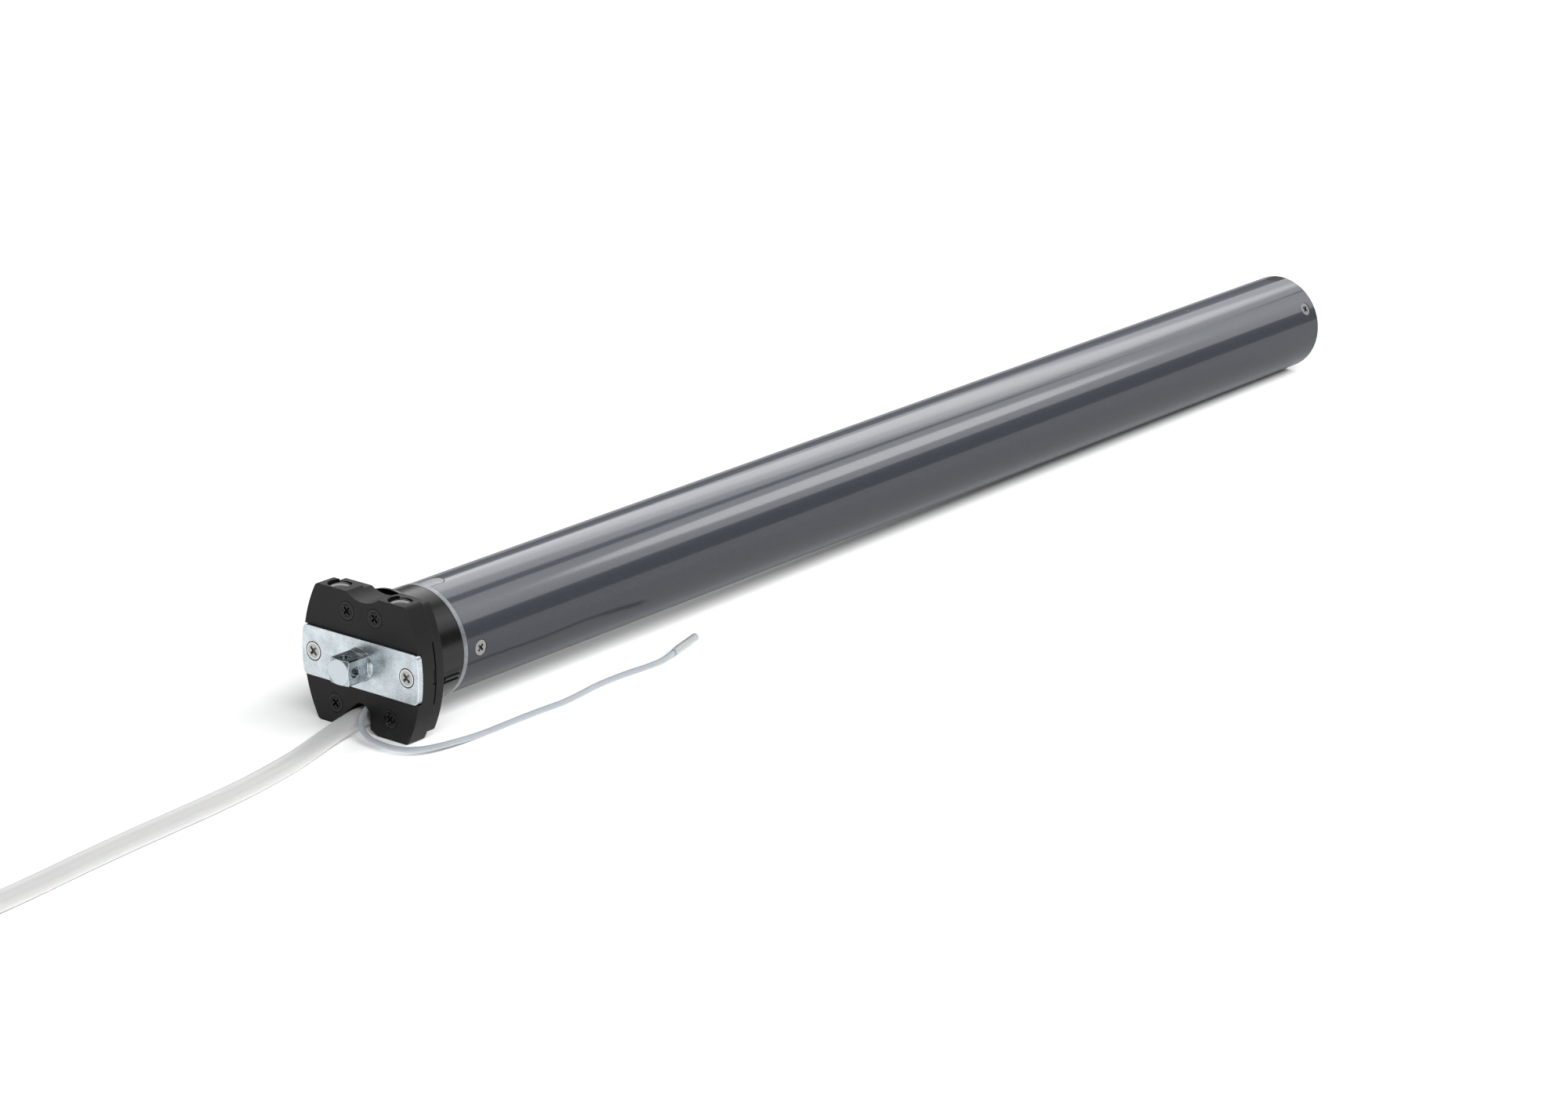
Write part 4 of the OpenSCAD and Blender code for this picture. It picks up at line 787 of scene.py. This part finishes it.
class MOTOR_OT_tube(bpy.types.Operator):
    """Finishes the lacquered tube, its end ring and its rear cap"""
    bl_idname = "tubular_motor.finish_tube"
    bl_label = "Finish tube"

    def execute(self, context):
        colours = context.scene.motor_colours
        coat(tube_lacquer("tube_lacquer", colours.lacquer), "motor_tube")
        coat(cast_metal("ring_casting", colours.ring), "end_ring")
        coat(moulded_plastic("cap_moulding", colours.moulding, 0.45), "rear_cap")
        coat(turned_metal("shaft_steel", (0.5, 0.51, 0.53)),
             "output_shaft", "rotor_shaft", "carrier_1", "carrier_2")
        coat(bright_metal("spring_steel", (0.45, 0.46, 0.48), 0.3), "output_clip", "brake_spring")
        coat(turned_metal("sintered_bronze", (0.5, 0.33, 0.15), 0.4), "output_bush", "rotor_bushes")
        return {"FINISHED"}


class MOTOR_OT_electronics(bpy.types.Operator):
    """Finishes the boards and the parts that stand on them"""
    bl_idname = "tubular_motor.finish_electronics"
    bl_label = "Finish electronics"

    def execute(self, context):
        coat(circuit_board("solder_resist", (0.015, 0.1, 0.04)),
             "control_board", "radio_module", "button_switches", "crown_sensor_board")
        coat(moulded_plastic("relay_case", (0.03, 0.12, 0.34), 0.3, depth=0.006 * MM), "relays")
        coat(moulded_plastic("supply_case", (0.02, 0.02, 0.022), 0.4), "supply_module")
        coat(moulded_plastic("terminal_case", (0.06, 0.27, 0.11), 0.38, depth=0.006 * MM),
             "terminal_block")
        coat(moulded_plastic("grey_moulding", (0.06, 0.06, 0.065), 0.5),
             "board_carrier", "capacitor_holder")
        coat(turned_metal("drawn_can", (0.7, 0.71, 0.72), 0.32, 1.5 * MM), "run_capacitor")
        return {"FINISHED"}


class MOTOR_OT_drive(bpy.types.Operator):
    """Finishes the motor, the brake and the gears"""
    bl_idname = "tubular_motor.finish_drive"
    bl_label = "Finish drive"

    def execute(self, context):
        coat(cast_metal("shield_casting", (0.42, 0.43, 0.45)), "motor_shield_rear", "motor_shield_front")
        coat(cast_metal("rotor_cage", (0.6, 0.61, 0.62), 0.35), "rotor_end_rings")
        coat(stacked_sheets("laminations", (0.24, 0.25, 0.27)), "stator_core", "rotor_core")
        coat(wound_copper("enamelled_wire", (0.6, 0.2, 0.07)), "stator_windings", "brake_coil")
        coat(turned_metal("machined_iron", (0.22, 0.225, 0.235), 0.36), "brake_magnet", "brake_armature")
        coat(moulded_plastic("brake_lining", (0.05, 0.04, 0.033), 0.8, grain=0.8 * MM, depth=0.05 * MM),
             "brake_disc")
        coat(moulded_plastic("filled_nylon", (0.05, 0.05, 0.053), 0.45), "gearbox_housing")
        coat(bright_metal("sintered_steel", (0.36, 0.33, 0.27), 0.38, 0.4 * MM, 0.02 * MM),
             *("planet_%d%s" % (stage, k) for stage in (1, 2, 3) for k in "abc"))
        return {"FINISHED"}


class MOTOR_OT_studio(bpy.types.Operator):
    """Makes the pale floor, the softboxes and the surrounding light"""
    bl_idname = "tubular_motor.make_studio"
    bl_label = "Make studio"

    def execute(self, context):
        floor = self.floor(context.scene.motor_colours.floor)
        tube = NODES["motor_tube"]
        for name, lights, gain, state, pieces in (
                ("all_but_floor_and_lacquer", SOFTBOXES, 1.0, "EXCLUDE", (floor, tube)),
                ("lacquer", SOFTBOXES, LACQUER_GAIN, "INCLUDE", (tube,)),
                ("floor", FLOOR_LIGHTS, 1.0, "INCLUDE", (floor,))):
            lit = bpy.data.collections.new(name)
            for item in pieces:
                lit.objects.link(item)
            for item in lit.collection_objects:
                item.light_linking.link_state = state
            for light in lights:
                self.softbox(*light, gain).light_linking.receiver_collection = lit
        world = bpy.data.worlds.new("studio")
        world.use_nodes = True
        back = world.node_tree.nodes["Background"]
        back.inputs["Color"].default_value = SKY_COLOUR
        back.inputs["Strength"].default_value = SKY_LEVEL
        context.scene.world = world
        context.scene.view_settings.view_transform = "Standard"
        return {"FINISHED"}

    def floor(self, shade):
        """Level up to the aerial's end, then rising evenly to meet the tube's far rim.

        The height over the level part is the rise times the share of the way from its start to its end.
        """
        x = np.concatenate([[-FLOOR_REACH], np.linspace(-400, RISE_START, 20), np.linspace(180, 640, 40),
                            [800.0, FLOOR_REACH]])
        y = np.array([-FLOOR_REACH, -400.0, 0.0, 400.0, FLOOR_REACH])
        gx, gy = np.meshgrid(x, y, indexing="ij")
        gz = REST_Z / MM + RISE * np.clip((gx - RISE_START) / (RISE_END - RISE_START), 0.0, 1.0)
        n = len(y)
        i, j = np.meshgrid(np.arange(len(x) - 1), np.arange(n - 1), indexing="ij")
        corner = i * n + j
        quads = np.stack([corner, corner + n, corner + n + 1, corner + 1], axis=-1).reshape(-1, 4)
        floor = piece("floor", np.stack([gx, gy, gz], axis=-1).reshape(-1, 3), quads.tolist())
        floor.data.materials.append(floor_paper("floor_paper", shade))
        return floor

    def softbox(self, name, shape, angle, spread, length, middle, slant, level, distance, gain):
        """Area light that faces the tube. Its radiance is its level times the gain.

        Its angle is from straight up towards the near side, and spread is what it covers across the tube,
        as seen from the axis, both in degrees. Slant turns its long side out of line with the tube.
        """
        width = 2 * distance * math.tan(math.radians(spread / 2))
        data = bpy.data.lights.new(name, "AREA")
        data.shape = shape
        data.size, data.size_y = length, width
        area = length * width * (math.pi / 4 if shape == "ELLIPSE" else 1.0)
        data.energy = level * gain * math.pi * area
        light = bpy.data.objects.new(name, data)
        away = Vector((0.0, -math.sin(math.radians(angle)), math.cos(math.radians(angle))))
        along = Matrix.Rotation(math.radians(slant), 3, away) @ Vector((1.0, 0.0, 0.0))
        turn = Matrix((along, away.cross(along), away)).transposed()
        place = Vector((middle, 0.0, 0.0)) + away * distance
        light.matrix_world = Matrix.Translation(place) @ turn.to_4x4()
        bpy.context.scene.collection.objects.link(light)
        return light


class MOTOR_PT_panel(bpy.types.Panel):
    """Sizes, colours and steps of the motor"""
    bl_label = "Tubular motor"
    bl_idname = "MOTOR_PT_panel"
    bl_space_type = "VIEW_3D"
    bl_region_type = "UI"
    bl_category = "Motor"

    def draw(self, context):
        for group in (context.scene.motor_sizes, context.scene.motor_colours):
            box = self.layout.box()
            for name in group.__annotations__:
                box.prop(group, name)
        for step in STEPS:
            self.layout.operator(step.bl_idname)


STEPS = (MOTOR_OT_camera, MOTOR_OT_power_cable, MOTOR_OT_aerial, MOTOR_OT_head, MOTOR_OT_tube,
         MOTOR_OT_electronics, MOTOR_OT_drive, MOTOR_OT_studio)
CLASSES = (MotorSizes, MotorColours, *STEPS, MOTOR_PT_panel)


def register():
    for cls in CLASSES:
        bpy.utils.register_class(cls)
    bpy.types.Scene.motor_sizes = PointerProperty(type=MotorSizes)
    bpy.types.Scene.motor_colours = PointerProperty(type=MotorColours)


def unregister():
    del bpy.types.Scene.motor_sizes
    del bpy.types.Scene.motor_colours
    for cls in reversed(CLASSES):
        bpy.utils.unregister_class(cls)


def main():
    """Registers the add-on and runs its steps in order."""
    register()
    for step in STEPS:
        group, name = step.bl_idname.split(".")
        getattr(getattr(bpy.ops, group), name)()


if __name__ == "__main__":
    main()
